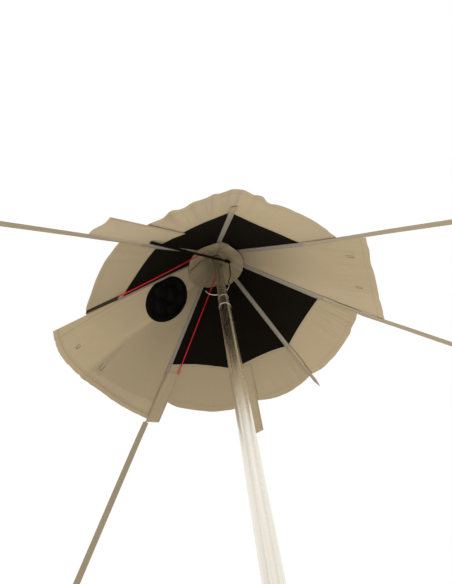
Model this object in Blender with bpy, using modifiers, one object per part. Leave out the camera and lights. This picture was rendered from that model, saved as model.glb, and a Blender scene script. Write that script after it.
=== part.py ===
"""Crown of an eight-sided pole tent: canvas and mesh canopy, centre pole and guy straps.

Metres, +Z up. The origin is on the ground under the centre of the pole, and the seams of the
canopy are lettered a to h, anticlockwise as seen from above.
"""

import math

import bmesh
import bpy
from mathutils import Matrix, Vector

# Canopy: a pyramid whose eight seams fall from one apex
APEX_Z = 2.500           # where the seams would meet
RING_R = 0.310           # from the pole's axis to the outer corners of the vents
CROWN_FALL = 1.20        # metres that a seam falls for each metre outwards, down to the ring
SKIRT_FALL = 1.09        # the same beyond the ring, for the brim, the panels and the straps
SEAM_AZIMUTH = {"a": 297.0, "b": 340.0, "c": 19.7, "d": 63.8,
                "e": 106.3, "f": 152.0, "g": 214.5, "h": 250.2}
SEAMS = "abcdefgh"
VENTS = ("ab", "cd", "de", "ef", "gh", "ha")
EYE_R = 0.045            # where the vents and panels begin, near the pole

# Brim: how far its hem is from the pole's axis at the two ends of each sheet, the folds in it,
# how far they rise and fall, and the share of the sheet's width where they start and end
BRIM_R = {"ab": (0.414, 0.390), "cd": (0.406, 0.390), "de": (0.391, 0.383),
          "ef": (0.386, 0.388), "gh": (0.413, 0.402), "ha": (0.393, 0.424)}
BRIM_FOLDS = {"ab": 4, "cd": 3, "de": 2, "ef": 2, "gh": 4, "ha": 6}
FOLD_DEPTH = {"ab": 0.005, "cd": 0.005, "de": 0.003, "ef": 0.003, "gh": 0.004, "ha": 0.008}
FOLD_SPAN = {"ab": (0.0, 1.0), "cd": (0.0, 1.0), "de": (0.0, 0.72),
             "ef": (0.0, 0.80), "gh": (0.25, 1.0), "ha": (0.36, 1.0)}
HEM_WIDTH = 0.012
HEM_STEP = 0.01          # share of a sheet over which it thickens to its hem
FOLD_SEGMENTS = 6        # columns of the grid to each fold

# Long panels: the plain one at +X and the one with the stove port at -X
PLAIN_HEM = 0.435
PLAIN_HEM_HALF = 0.143
PLAIN_SAG = 0.006
STOVE_HEM = 0.4165
STOVE_HEM_SKEW = 0.12    # the hem's run changes with the place across it, and with its square and cube
STOVE_HEM_BOW = 0.31
STOVE_HEM_TURN = 0.93
STOVE_TAPER = 0.012      # how much narrower the hem is at seam g
STOVE_SAG = 0.010

# Cloth, each layer under the last
MESH_T = 0.0008
CANVAS_T = 0.0012
HEM_T = 0.0024
TAPE_T = 0.0014
COLLAR_T = 0.0014
CAP_T = 0.0016
LAYER_GAP = 0.0004       # between two layers of cloth
SEAM_GAP = 0.0006        # from an edge to the seam's plane
STEEP = 1.70             # vertical measure of a layer across the steepest panel

TAPE_WIDTH = {"a": 0.016, "b": 0.018, "c": 0.018, "d": 0.020, "e": 0.018, "f": 0.014, "g": 0.008,
              "h": 0.014}
TAPE_INNER_R = 0.060
TAPE_OUTER_R = 0.345
COLLAR_INNER_R = 0.028
COLLAR_R = 0.100
COLLAR_FOLDS = 12
COLLAR_FOLD_DEPTH = 0.004
CAP_R = 0.112

# Side tabs that lie under the brim beside four seams
TAB_SECTOR = {"e": "de", "f": "ef", "g": "gh", "h": "ha"}
TAB_WIDTH = {"e": (0.058, 0.064), "f": (0.041, 0.041), "g": (0.0125, 0.005), "h": (0.089, 0.076)}
TAB_OFFSET = {"e": 0.0076, "f": 0.002, "g": 0.002, "h": 0.0062}
TAB_INNER_R = {"e": 0.3115, "f": 0.333, "g": 0.338, "h": 0.3115}
TAB_OUTER_R = {"e": 0.470, "f": 0.452, "g": 0.412, "h": 0.485}
TAB_SKEW = {"e": 0.0, "f": 0.0, "g": 0.0, "h": 0.024}

# Guy straps down to the ground, how far each turns from its seam, and the tail on seam d
STRAP_WIDTH = {"b": 0.014, "c": 0.014, "e": 0.014, "f": 0.020, "h": 0.011}
STRAP_TURN = {"b": 0.6, "c": -4.0, "e": 0.0, "f": 0.0, "h": -2.5}
STRAP_T = 0.0014
STRAP_GAP = 0.0005       # from the end of the tape or tab to the strap that goes on from it
STRAP_START_R = {**dict.fromkeys("bceh", TAPE_OUTER_R + STRAP_GAP), "f": TAB_OUTER_R["f"] + STRAP_GAP}
STRAP_BENT_R = 0.420     # up to here a strap is bent over its seam
STRAP_FLAT_R = 0.520     # past here it lies flat
STRAP_MIDDLE_R = 1.000
TAIL_WIDTH = 0.012
TAIL_R = 0.426
TAIL_TAPER = 0.020
TAIL_TIP = 0.15          # share of the tail's width at its tip
LOOP_WALL = 0.0016
LOOP_BORE = 0.0030
LOOP_STRAP_PAST = 0.001  # how far a strap runs into its loop
LOOP_CUT_PAST = 0.005    # how far the bore's cutter passes each edge of a strap
RING_WIRE = 0.0026
RING_LENGTH = 0.034
RING_SIDE = 0.005        # from the strap's edge to the middle of the ring's side
BAR_Z = 0.0052

# Stove port in the panel at -X, measured down its slope and across it
PORT_DOWN = 0.331
PORT_ACROSS = 0.031
PORT_LONG = 0.110
PORT_SHORT = 0.072
PORT_TILT = 21.0
PORT_EGG = 0.06
PORT_RIM = 0.007
PORT_RIM_T = 0.0014
PORT_COVER_T = 0.0016
PORT_COVER_LAP = 0.006
PORT_FOLD = 0.004
PORT_FOLDS_DOWN = 15.0   # folds of the cover to a metre, along the port's two axes
PORT_FOLDS_ACROSS = 9.5
PORT_FOLD_START = 0.2    # share of a turn at which the first fold starts
CUTTER_REACH = 0.020     # how far a cutter stands out on each side of the cloth

# Pole
UPPER_D = 0.033
LOWER_D = 0.038
TUBE_WALL = 0.0012
BUSH_TOP = 0.335         # below the apex
BUSH_FOOT = 0.384
BUSH_D = 0.0365
BUSH_SPIGOT = 0.060
SLIP = 0.0003
UPPER_TUBE_END = 1.000   # below the apex
POLE_JOINT_Z = 1.060
SLEEVE_LENGTH = 0.200
FOOT_D = 0.048
FOOT_H = 0.040
FOOT_FLOOR = 0.006
FOOT_LIP = 0.002
FOOT_SIDE_H = 0.008
TIP_H = 0.012
TIP_POINT_R = 0.004
TIP_PLUG = 0.030
TIP_GAP = 0.0005

# Cords and the lantern clip, by points measured from the apex
RED_CORD_D = 0.004
RED_CORD_G = [(-0.0107, -0.0945, -0.1347), (-0.1360, -0.1512, -0.2763), (-0.2610, -0.2075, -0.4160)]
RED_CORD_F = [(-0.0346, 0.0558, -0.1003), (-0.1484, 0.1180, -0.2540), (-0.2621, 0.1803, -0.4075)]
BLACK_CORD_D = 0.004
BLACK_CORD = [(0.0430, 0.0110, -0.1480), (0.0385, 0.0102, -0.1980), (0.0290, 0.0082, -0.2320)]
HANGING_STRAP_START = (-0.0910, -0.3203, -0.4176)
HANGING_STRAP_W = 0.009
HANGING_STRAP_T = 0.002
KNOT_R = 0.0070
KNOT_PLACE = (0.0365, 0.0086, -0.0841)
KNOT_STEP = (0.0085, 0.0022, -0.0110)
EYELET_R = 0.0070
EYELET_WIRE = 0.0012
EYELET_SIDES = 24
CLIP_R = 0.044
CLIP_CENTRE = (-0.013, -0.007)
CLIP_WIRE = 0.002
CLIP_Z = 0.259
CLIP_TILT = -17.5
CLIP_FROM = 20.0
CLIP_TO = 182.0
CORD_STEPS = 8           # steps of a cord between two points of its route

# How finely the pieces are divided
BRIM_SEGMENTS = 12
PLAIN_SEGMENTS = 10
STOVE_SEGMENTS = 14
COLLAR_SEGMENTS = 4
CAP_SEGMENTS = 24
PORT_SIDES = 32
COVER_SEGMENTS = 6
TURNED_SIDES = 32
TUBE_BEVEL = 2
LOOP_SIDES = 20
RING_BOW_STEPS = 12
CLIP_STEPS = 20
KNOT_SIDES = 12
KNOT_RINGS = 8
MERGE = 0.00001          # points nearer than this are one
ROUNDING = 0.000001
SHARP_ANGLE = 40.0       # turned and round pieces stay sharp where two faces turn by more

COLOURS = {
    "canvas": ((0.46, 0.37, 0.26), 0.85, 0.0),
    "webbing": ((0.36, 0.32, 0.26), 0.80, 0.0),
    "mesh": ((0.008, 0.007, 0.005), 0.90, 0.0),
    "black_cloth": ((0.006, 0.006, 0.006), 0.60, 0.0),
    "red_cord": ((0.55, 0.02, 0.02), 0.60, 0.0),
    "polished": ((0.80, 0.79, 0.76), 0.12, 1.0),
    "plastic": ((0.02, 0.02, 0.02), 0.50, 0.0),
}


def clear_scene():
    """Empties the scene without closing the file that this script runs from."""
    for item in list(bpy.data.objects):
        bpy.data.objects.remove(item, do_unlink=True)


def make_collection(name):
    """A collection under the scene's own."""
    collection = bpy.data.collections.new(name)
    bpy.context.scene.collection.children.link(collection)
    return collection


def make_material(name):
    """A Principled material from the table of colours."""
    colour, roughness, metallic = COLOURS[name]
    material = bpy.data.materials.new(name)
    material.use_nodes = True
    shader = material.node_tree.nodes["Principled BSDF"]
    shader.inputs["Base Color"].default_value = (*colour, 1.0)
    shader.inputs["Roughness"].default_value = roughness
    shader.inputs["Metallic"].default_value = metallic
    material.diffuse_color = (*colour, 1.0)
    return material


def add_part(name, mesh, finish, collection=None):
    """Puts a mesh into the tent as one named piece with its own material."""
    item = bpy.data.objects.new(name, mesh)
    (collection or TENT).objects.link(item)
    material = make_material(finish)
    material.name = name
    mesh.materials.clear()
    mesh.materials.append(material)
    return item


def polar(radius, azimuth, height):
    """A point from its distance to the pole's axis, its azimuth in degrees and its height."""
    angle = math.radians(azimuth)
    return Vector((radius * math.cos(angle), radius * math.sin(angle), height))


def sector_frame(sector):
    """Azimuth of a sector's middle and half of its angle, both in radians."""
    first = SEAM_AZIMUTH[sector[0]]
    width = (SEAM_AZIMUTH[sector[1]] - first) % 360.0
    return math.radians(first + width / 2), math.radians(width / 2)


def sector_at(x, y):
    """The sector over a point on the plan."""
    azimuth = math.degrees(math.atan2(y, x)) % 360.0
    for first, second in zip(SEAMS, SEAMS[1:] + SEAMS[0]):
        width = (SEAM_AZIMUTH[second] - SEAM_AZIMUTH[first]) % 360.0
        if (azimuth - SEAM_AZIMUTH[first]) % 360.0 <= width:
            return first + second
    return "ab"


def ring_chord(sector):
    """From the pole's axis to the middle of a vent's straight outer edge."""
    return RING_R * math.cos(sector_frame(sector)[1])


def sector_point(sector, out, across, lift=0.0):
    """A point of the canopy's outer surface, by its run from the axis and its place across."""
    middle, half = sector_frame(sector)
    chord = ring_chord(sector)
    fall = CROWN_FALL * min(out, chord) + SKIRT_FALL * max(out - chord, 0.0)
    x = out * math.cos(middle) - across * math.sin(middle)
    y = out * math.sin(middle) + across * math.cos(middle)
    return Vector((x, y, APEX_Z - fall / math.cos(half) + lift))


def canopy_point(x, y, lift=0.0):
    """The point of the canopy's outer surface over a place on the plan."""
    sector = sector_at(x, y)
    middle, _ = sector_frame(sector)
    out = x * math.cos(middle) + y * math.sin(middle)
    return Vector((x, y, sector_point(sector, out, 0.0, lift).z))


def seam_height(radius):
    """Height of a seam at a distance from the pole's axis."""
    inner = min(radius, RING_R)
    return APEX_Z - CROWN_FALL * inner - SKIRT_FALL * (radius - inner)


def half_width(sector, out):
    """Half of a sector's width, less the gap to the planes of its seams."""
    half = sector_frame(sector)[1]
    return out * math.tan(half) - SEAM_GAP / math.cos(half)


def add_cloth(name, place, columns, rows, thickness, finish, side=-1.0, hem_from=None,
              hem_thickness=None):
    """A sheet of cloth: a grid bent by place(s, t), then given its thickness.

    s runs across in equal columns and t takes the values of rows; side is -1 for a thickness
    that grows inwards and 1 for outwards. Rows from hem_from on are hem_thickness thick.
    """
    bm = bmesh.new()
    last = len(rows) - 1
    bmesh.ops.create_grid(bm, x_segments=columns, y_segments=last, size=0.5)
    hem = set()
    for index, vert in enumerate(bm.verts):
        t = rows[round((vert.co.y + 0.5) * last)]
        if hem_from is not None and t >= hem_from:
            hem.add(index)
        vert.co = place(vert.co.x + 0.5, t)
    mesh = bpy.data.meshes.new(name)
    bm.to_mesh(mesh)
    bm.free()
    item = add_part(name, mesh, finish)
    if hem_from is not None:
        group = item.vertex_groups.new(name="hem")
        group.add(sorted(hem), 1.0, "REPLACE")
    bm = bmesh.new()
    bm.from_mesh(mesh)
    bmesh.ops.remove_doubles(bm, verts=bm.verts, dist=MERGE)
    bm.normal_update()
    if sum(face.normal.z * face.calc_area() for face in bm.faces) < 0.0:
        bmesh.ops.reverse_faces(bm, faces=bm.faces)
    bm.to_mesh(mesh)
    bm.free()
    solid = item.modifiers.new("Thickness", "SOLIDIFY")
    solid.thickness = hem_thickness or thickness
    solid.offset = side
    solid.use_even_offset = True
    if hem_from is not None:
        solid.vertex_group = "hem"
        solid.thickness_vertex_group = thickness / hem_thickness
    return item


def add_tube_curve(name, points, diameter, finish, cyclic=False):
    """A cord or wire: a poly curve with a round bevel, made a closed mesh."""
    curve = bpy.data.curves.new(name, "CURVE")
    curve.dimensions = "3D"
    curve.bevel_depth = diameter / 2
    curve.bevel_resolution = TUBE_BEVEL
    curve.use_fill_caps = not cyclic
    spline = curve.splines.new("POLY")
    spline.points.add(len(points) - 1)
    for point, place in zip(spline.points, points):
        point.co = (*place, 1.0)
    spline.use_cyclic_u = cyclic
    guide = bpy.data.objects.new(name + "_path", curve)
    bpy.context.scene.collection.objects.link(guide)
    graph = bpy.context.evaluated_depsgraph_get()
    mesh = bpy.data.meshes.new_from_object(guide.evaluated_get(graph))
    bpy.data.objects.remove(guide, do_unlink=True)
    bm = bmesh.new()
    bm.from_mesh(mesh)
    bmesh.ops.remove_doubles(bm, verts=bm.verts, dist=MERGE)
    bmesh.ops.recalc_face_normals(bm, faces=bm.faces)
    bm.to_mesh(mesh)
    bm.free()
    mesh.name = name
    item = add_part(name, mesh, finish)
    shade_round(item)
    return item


def add_turned(name, profile, finish):
    """A turned piece: a closed profile of (radius, height) points, swept about the pole's axis."""
    mesh = bpy.data.meshes.new(name)
    verts = [(radius, 0.0, height) for radius, height in profile]
    count = len(verts)
    touches_axis = profile[0][0] == 0.0 and profile[-1][0] == 0.0
    edges = [(i, i + 1) for i in range(count - 1)]
    if not touches_axis:
        edges.append((count - 1, 0))
    mesh.from_pydata(verts, edges, [])
    item = add_part(name, mesh, finish)
    screw = item.modifiers.new("Turn", "SCREW")
    screw.steps = TURNED_SIDES
    screw.render_steps = TURNED_SIDES
    screw.use_merge_vertices = True
    screw.merge_threshold = MERGE
    bake(item)
    shade_round(item)


def bake(item):
    """Applies a piece's modifiers, so that it can be cut or joined."""
    graph = bpy.context.evaluated_depsgraph_get()
    mesh = bpy.data.meshes.new_from_object(item.evaluated_get(graph))
    item.modifiers.clear()
    item.data = mesh


def shade_round(item):
    """Shades a round piece smooth, apart from its sharp edges."""
    item.data.shade_smooth()
    item.data.set_sharp_from_angle(angle=math.radians(SHARP_ANGLE))


def set_origin(item, matrix):
    """Moves a piece's origin onto its joint, and leaves the piece where it is."""
    item.data.transform(matrix.inverted())
    item.matrix_world = matrix


def boolean(item, other, operation):
    """Cuts or joins a piece with another, exactly."""
    change = item.modifiers.new(operation.title(), "BOOLEAN")
    change.operation = operation
    change.object = other
    change.solver = "EXACT"


def hide_cutter(item):
    """Marks a cutter, which isn't part of the tent."""
    item.hide_render = True
    item.display_type = "WIRE"


def steps_between(first, last, count):
    """Equal steps from first to last, both included."""
    return [first + (last - first) * i / count for i in range(count + 1)]


def make_vents():
    """Six flat mesh windows between the eye and the ring."""
    for sector in VENTS:
        edge = ring_chord(sector) - LAYER_GAP / 2

        def place(s, t, sector=sector, edge=edge):
            out = EYE_R + (edge - EYE_R) * t
            return sector_point(sector, out, (2 * s - 1) * half_width(sector, out))

        add_cloth("vent_mesh_" + sector, place, 2, [0.0, 0.5, 1.0], MESH_T, "mesh")


def brim_fold(sector, s):
    """Rise of a brim's hem at a place across the sheet."""
    first, last = FOLD_SPAN[sector]
    x = (s - first) / (last - first)
    if not 0.0 < x < 1.0:
        return 0.0
    return FOLD_DEPTH[sector] * math.sin(2 * math.pi * BRIM_FOLDS[sector] * x) * math.sin(math.pi * x) ** 0.5


def make_brims():
    """Six sheets of canvas outside the vents, whose folds deepen towards a doubled hem."""
    for sector in VENTS:
        middle, half = sector_frame(sector)
        chord = ring_chord(sector) + LAYER_GAP / 2
        reach = BRIM_R[sector]

        def place(s, t, sector=sector, half=half, chord=chord, reach=reach):
            turn = (2 * s - 1) * (half - SEAM_GAP / RING_R)
            inner = chord / math.cos(turn)
            outer = reach[0] + (reach[1] - reach[0]) * s
            radius = inner + (outer - inner) * t
            lift = t * t * brim_fold(sector, s)
            return sector_point(sector, radius * math.cos(turn), radius * math.sin(turn), lift)

        hem = 1.0 - HEM_WIDTH / (reach[0] - RING_R)
        rows = steps_between(0.0, hem - HEM_STEP, 3) + [hem, 1.0]
        columns = max(BRIM_SEGMENTS, BRIM_FOLDS[sector] * FOLD_SEGMENTS)
        add_cloth("brim_" + sector, place, columns, rows, CANVAS_T, "canvas",
                  hem_from=hem, hem_thickness=HEM_T)


def make_plain_panel():
    """The long plain panel, which sags a little past the ring."""
    sector = "bc"
    chord = ring_chord(sector)
    hem = 1.0 - HEM_WIDTH / (PLAIN_HEM - EYE_R)
    ring = (chord - EYE_R) / (PLAIN_HEM - EYE_R)

    def place(s, t):
        out = EYE_R + (PLAIN_HEM - EYE_R) * t
        past = max(out - chord, 0.0) / (PLAIN_HEM - chord)
        wide = half_width(sector, min(out, chord))
        wide += (PLAIN_HEM_HALF - wide) * past
        sag = PLAIN_SAG * past * past * math.sin(math.pi * s)
        return sector_point(sector, out, (2 * s - 1) * wide, -sag)

    rows = [0.0, ring / 2, ring, (ring + hem) / 2, hem - HEM_STEP, hem, 1.0]
    add_cloth("panel_plain", place, PLAIN_SEGMENTS, rows, CANVAS_T, "canvas", hem_from=hem,
              hem_thickness=HEM_T)


def stove_hem(across):
    """Run of the stove panel's curved hem from the pole's axis."""
    return STOVE_HEM + STOVE_HEM_SKEW * across - STOVE_HEM_BOW * across ** 2 - STOVE_HEM_TURN * across ** 3


def port_frame():
    """Matrix of the stove port: x down the slope, y across it and z out of the tent."""
    middle, half = sector_frame("fg")
    fall = CROWN_FALL / math.cos(half)
    run = PORT_DOWN / math.sqrt(1 + fall * fall)
    origin = sector_point("fg", run, PORT_ACROSS)
    down = Vector((math.cos(middle), math.sin(middle), -fall)).normalized()
    over = Vector((-math.sin(middle), math.cos(middle), 0.0))
    turn = Matrix((down, over, down.cross(over))).transposed().to_4x4()
    return Matrix.Translation(origin) @ turn


def port_outline(angle, grow, radius=1.0):
    """A point of the egg that the port is cut to, in the port's frame."""
    egg = 1.0 + PORT_EGG * math.cos(angle)
    x = (PORT_LONG + grow) * egg * math.cos(angle) * radius
    y = (PORT_SHORT + grow) * egg * math.sin(angle) * radius
    return Matrix.Rotation(math.radians(PORT_TILT), 3, "Z") @ Vector((x, y, 0.0))


def make_stove_panel():
    """The long panel at -X with the egg-shaped hole for a stove pipe."""
    sector = "fg"
    chord = ring_chord(sector)

    def place(s, t):
        side = 2 * s - 1
        hem = stove_hem(side * half_width(sector, STOVE_HEM))
        out = EYE_R + (hem - EYE_R) * t
        past = max(out - chord, 0.0) / (hem - chord)
        sag = STOVE_SAG * past * past * math.sin(math.pi * s)
        across = side * half_width(sector, out) - STOVE_TAPER * past * max(side, 0.0)
        return sector_point(sector, out, across, -sag)

    hem = 1.0 - HEM_WIDTH / (STOVE_HEM - EYE_R)
    ring = (chord - EYE_R) / (STOVE_HEM - EYE_R)
    rows = [0.0, ring, (ring + hem) / 2, hem - HEM_STEP, hem, 1.0]
    panel = add_cloth("panel_stove", place, STOVE_SEGMENTS, rows, CANVAS_T, "canvas", hem_from=hem,
                      hem_thickness=HEM_T)
    bake(panel)
    bm = bmesh.new()
    bmesh.ops.create_circle(bm, cap_ends=True, radius=1.0, segments=PORT_SIDES)
    for vert in bm.verts:
        vert.co = port_outline(math.atan2(vert.co.y, vert.co.x), -PORT_RIM)
        vert.co.z = -CUTTER_REACH
    top = bmesh.ops.extrude_face_region(bm, geom=list(bm.faces))
    for vert in [v for v in top["geom"] if isinstance(v, bmesh.types.BMVert)]:
        vert.co.z = CUTTER_REACH
    bmesh.ops.recalc_face_normals(bm, faces=bm.faces)
    mesh = bpy.data.meshes.new("stove_port_cutter")
    bm.to_mesh(mesh)
    bm.free()
    cutter = add_part("stove_port_cutter", mesh, "plastic", CUTTERS)
    cutter.matrix_world = port_frame()
    hide_cutter(cutter)
    boolean(panel, cutter, "DIFFERENCE")


def make_stove_port():
    """A black rim under the hole, and a loose cover over it that hinges at its upper edge."""
    frame = port_frame()
    under = -CANVAS_T - LAYER_GAP

    def rim(s, t):
        point = port_outline(2 * math.pi * s, -2 * PORT_RIM + 2 * PORT_RIM * t)
        point.z = under
        return frame @ point

    add_cloth("stove_port_rim", rim, PORT_SIDES, [0.0, 1.0], PORT_RIM_T, "black_cloth")

    def cover(s, t):
        point = port_outline(2 * math.pi * s, PORT_COVER_LAP, t)
        down = math.sin(2 * math.pi * (point.x * PORT_FOLDS_DOWN + PORT_FOLD_START))
        fold = down * math.cos(2 * math.pi * point.y * PORT_FOLDS_ACROSS)
        point.z = LAYER_GAP + PORT_FOLD * (1 - t * t) * (1 + fold)
        return frame @ point

    rows = steps_between(0.0, 1.0, COVER_SEGMENTS)
    item = add_cloth("stove_port_cover", cover, PORT_SIDES, rows, PORT_COVER_T, "black_cloth", side=1.0)
    top = min(port_outline(math.radians(angle), PORT_COVER_LAP).x for angle in range(360))
    set_origin(item, frame @ Matrix.Translation((top, 0.0, LAYER_GAP + PORT_COVER_T)))


def make_tapes():
    """Grey webbing under each seam, from below the collar to just past the vents."""
    for seam in SEAMS:
        azimuth = SEAM_AZIMUTH[seam]
        lower = STEEP * (CANVAS_T + LAYER_GAP)
        width = TAPE_WIDTH[seam]

        def place(s, t, azimuth=azimuth, lower=lower, width=width):
            point = polar(t, azimuth, 0.0) + polar((s - 0.5) * width, azimuth + 90.0, 0.0)
            return canopy_point(point.x, point.y, -lower)

        rows = [TAPE_INNER_R, (TAPE_INNER_R + RING_R) / 2, RING_R, TAPE_OUTER_R]
        add_cloth("seam_tape_" + seam, place, 2, rows, TAPE_T, "webbing")


def around(s):
    """Azimuth in degrees at a share of the way round, with an equal share for every sector."""
    whole = min(int(s * len(SEAMS) + ROUNDING), len(SEAMS) - 1)
    first = SEAM_AZIMUTH[SEAMS[whole]]
    width = (SEAM_AZIMUTH[SEAMS[(whole + 1) % len(SEAMS)]] - first) % 360.0
    return first + width * (s * len(SEAMS) - whole)


def make_collar():
    """Canvas cone that lines the crown round the pole, with soft folds."""
    lower = STEEP * (CANVAS_T + TAPE_T + 2 * LAYER_GAP)

    def place(s, t):
        point = polar(t, around(s), 0.0)
        share = (t - COLLAR_INNER_R) / (COLLAR_R - COLLAR_INNER_R)
        fold = COLLAR_FOLD_DEPTH * share * (1 - math.cos(2 * math.pi * s * COLLAR_FOLDS)) / 2
        return canopy_point(point.x, point.y, -lower - fold)

    rows = steps_between(COLLAR_INNER_R, COLLAR_R, COLLAR_SEGMENTS)
    add_cloth("collar", place, COLLAR_FOLDS * FOLD_SEGMENTS, rows, COLLAR_T, "canvas")


def make_cap():
    """Canvas cap over the eye, on the outside."""
    def place(s, t):
        point = polar(t, around(s), 0.0)
        return canopy_point(point.x, point.y, STEEP * LAYER_GAP)

    add_cloth("crown_cap", place, CAP_SEGMENTS, steps_between(0.0, CAP_R, 3), CAP_T, "canvas", side=1.0)


def make_tabs():
    """Tabs of canvas under the brim, each beside one seam."""
    lower = STEEP * (CANVAS_T + TAPE_T + 2 * LAYER_GAP)
    for seam, sector in TAB_SECTOR.items():
        first, last = TAB_WIDTH[seam]
        offset = TAB_OFFSET[seam]
        skew = TAB_SKEW[seam]
        half = sector_frame(sector)[1]
        side = -1.0 if sector[0] == seam else 1.0
        inner = TAB_INNER_R[seam] * math.cos(half)
        outer = TAB_OUTER_R[seam] * math.cos(half)

        def place(s, t, sector=sector, half=half, side=side, inner=inner, outer=outer, first=first,
                  last=last, offset=offset, skew=skew):
            out = inner + (outer + skew * s - inner) * t
            edge = out * math.tan(half) - (offset + (first + (last - first) * t) * s) / math.cos(half)
            return sector_point(sector, out, side * edge, -lower)

        add_cloth("side_tab_" + seam, place, 3, steps_between(0.0, 1.0, 3), CANVAS_T, "canvas")


def strap_line(reach):
    """Height of the upper face of a guy strap at a distance along its line on the plan."""
    return seam_height(reach) - STEEP * (HEM_T + LAYER_GAP)


def strap_plan(seam, reach, side=0.0):
    """A place on a guy strap, on the plan: along the seam, then along the strap's own line."""
    own = SEAM_AZIMUTH[seam] + STRAP_TURN[seam]
    past = max(reach - STRAP_BENT_R, 0.0)
    return polar(reach - past, SEAM_AZIMUTH[seam], 0.0) + polar(past, own, 0.0) + polar(side, own + 90.0, 0.0)


def loop_centre():
    """Distances on the plan of the ring's bar and of the strap's end, for every strap."""
    slope = math.atan(SKIRT_FALL)
    reach = LOOP_BORE + LOOP_WALL - STRAP_T / 2
    line_z = BAR_Z + math.cos(slope) * reach
    middle_drop = STRAP_T / 2 / math.cos(slope)
    end = RING_R + (strap_line(RING_R) - middle_drop - line_z) / SKIRT_FALL
    return end - math.sin(slope) * reach, end


def make_straps():
    """Guy straps from the brim to the ground, each with a sewn loop for its ring."""
    bar, end = loop_centre()
    for seam, width in STRAP_WIDTH.items():

        def place(s, t, seam=seam, width=width):
            point = strap_plan(seam, t, (s - 0.5) * width)
            bent = canopy_point(point.x, point.y).z - seam_height(t)
            flat = min(max((t - STRAP_BENT_R) / (STRAP_FLAT_R - STRAP_BENT_R), 0.0), 1.0)
            return Vector((point.x, point.y, strap_line(t) + bent * (1.0 - flat)))

        stations = [STRAP_START_R[seam], STRAP_FLAT_R, STRAP_MIDDLE_R, end + LOOP_STRAP_PAST]
        if STRAP_START_R[seam] < STRAP_BENT_R:
            stations[1:1] = [STRAP_BENT_R]
        strap = add_cloth("guy_strap_" + seam, place, 2, stations, STRAP_T, "canvas")
        bake(strap)
        outer = add_cylinder("loop_outer_" + seam, LOOP_BORE + LOOP_WALL, width, seam, bar)
        inner = add_cylinder("loop_bore_" + seam, LOOP_BORE, width + 2 * LOOP_CUT_PAST, seam, bar)
        boolean(strap, outer, "UNION")
        boolean(strap, inner, "DIFFERENCE")
        make_peg_ring(seam, bar, width)

    def tail(s, t):
        point = polar(t, SEAM_AZIMUTH["d"], 0.0)
        taper = min(1.0, (TAIL_R - t) / TAIL_TAPER + TAIL_TIP)
        point += polar((s - 0.5) * TAIL_WIDTH * taper, SEAM_AZIMUTH["d"] + 90.0, 0.0)
        return canopy_point(point.x, point.y, -STEEP * (HEM_T + LAYER_GAP))

    rows = steps_between(TAPE_OUTER_R + STRAP_GAP, TAIL_R - TAIL_TAPER, 2) + [TAIL_R]
    add_cloth("strap_tail_d", tail, 2, rows, STRAP_T, "canvas")


def add_cylinder(name, radius, length, seam, bar):
    """A round cutter or boss along the bar of a strap's peg ring."""
    bm = bmesh.new()
    bmesh.ops.create_cone(bm, cap_ends=True, segments=LOOP_SIDES, radius1=radius, radius2=radius,
                          depth=length)
    azimuth = math.radians(SEAM_AZIMUTH[seam] + STRAP_TURN[seam])
    turn = Matrix.Rotation(azimuth, 4, "Z") @ Matrix.Rotation(math.pi / 2, 4, "X")
    bm.transform(Matrix.Translation(strap_plan(seam, bar) + Vector((0.0, 0.0, BAR_Z))) @ turn)
    mesh = bpy.data.meshes.new(name)
    bm.to_mesh(mesh)
    bm.free()
    item = add_part(name, mesh, "plastic", CUTTERS)
    hide_cutter(item)
    return item


def make_peg_ring(seam, bar, width):
    """Steel D-ring that lies on the ground outside its loop, for a peg."""
    half = width / 2 + RING_SIDE
    fall = BAR_Z - RING_WIRE
    points = []
    for angle in steps_between(-90.0, 90.0, RING_BOW_STEPS):
        out = math.cos(math.radians(angle)) * (RING_LENGTH - RING_SIDE)
        side = math.sin(math.radians(angle)) * half
        points.append((RING_SIDE + out, side))
    points = [(0.0, -half)] + points + [(0.0, half)]
    path = []
    for out, side in points:
        height = Vector((0.0, 0.0, BAR_Z - fall * out / RING_LENGTH))
        path.append(strap_plan(seam, bar + out, side) + height)
    ring = add_tube_curve("peg_ring_" + seam, path, 2 * RING_WIRE, "polished", cyclic=True)
    own = math.radians(SEAM_AZIMUTH[seam] + STRAP_TURN[seam])
    place = strap_plan(seam, bar) + Vector((0.0, 0.0, BAR_Z))
    set_origin(ring, Matrix.Translation(place) @ Matrix.Rotation(own, 4, "Z"))


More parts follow.
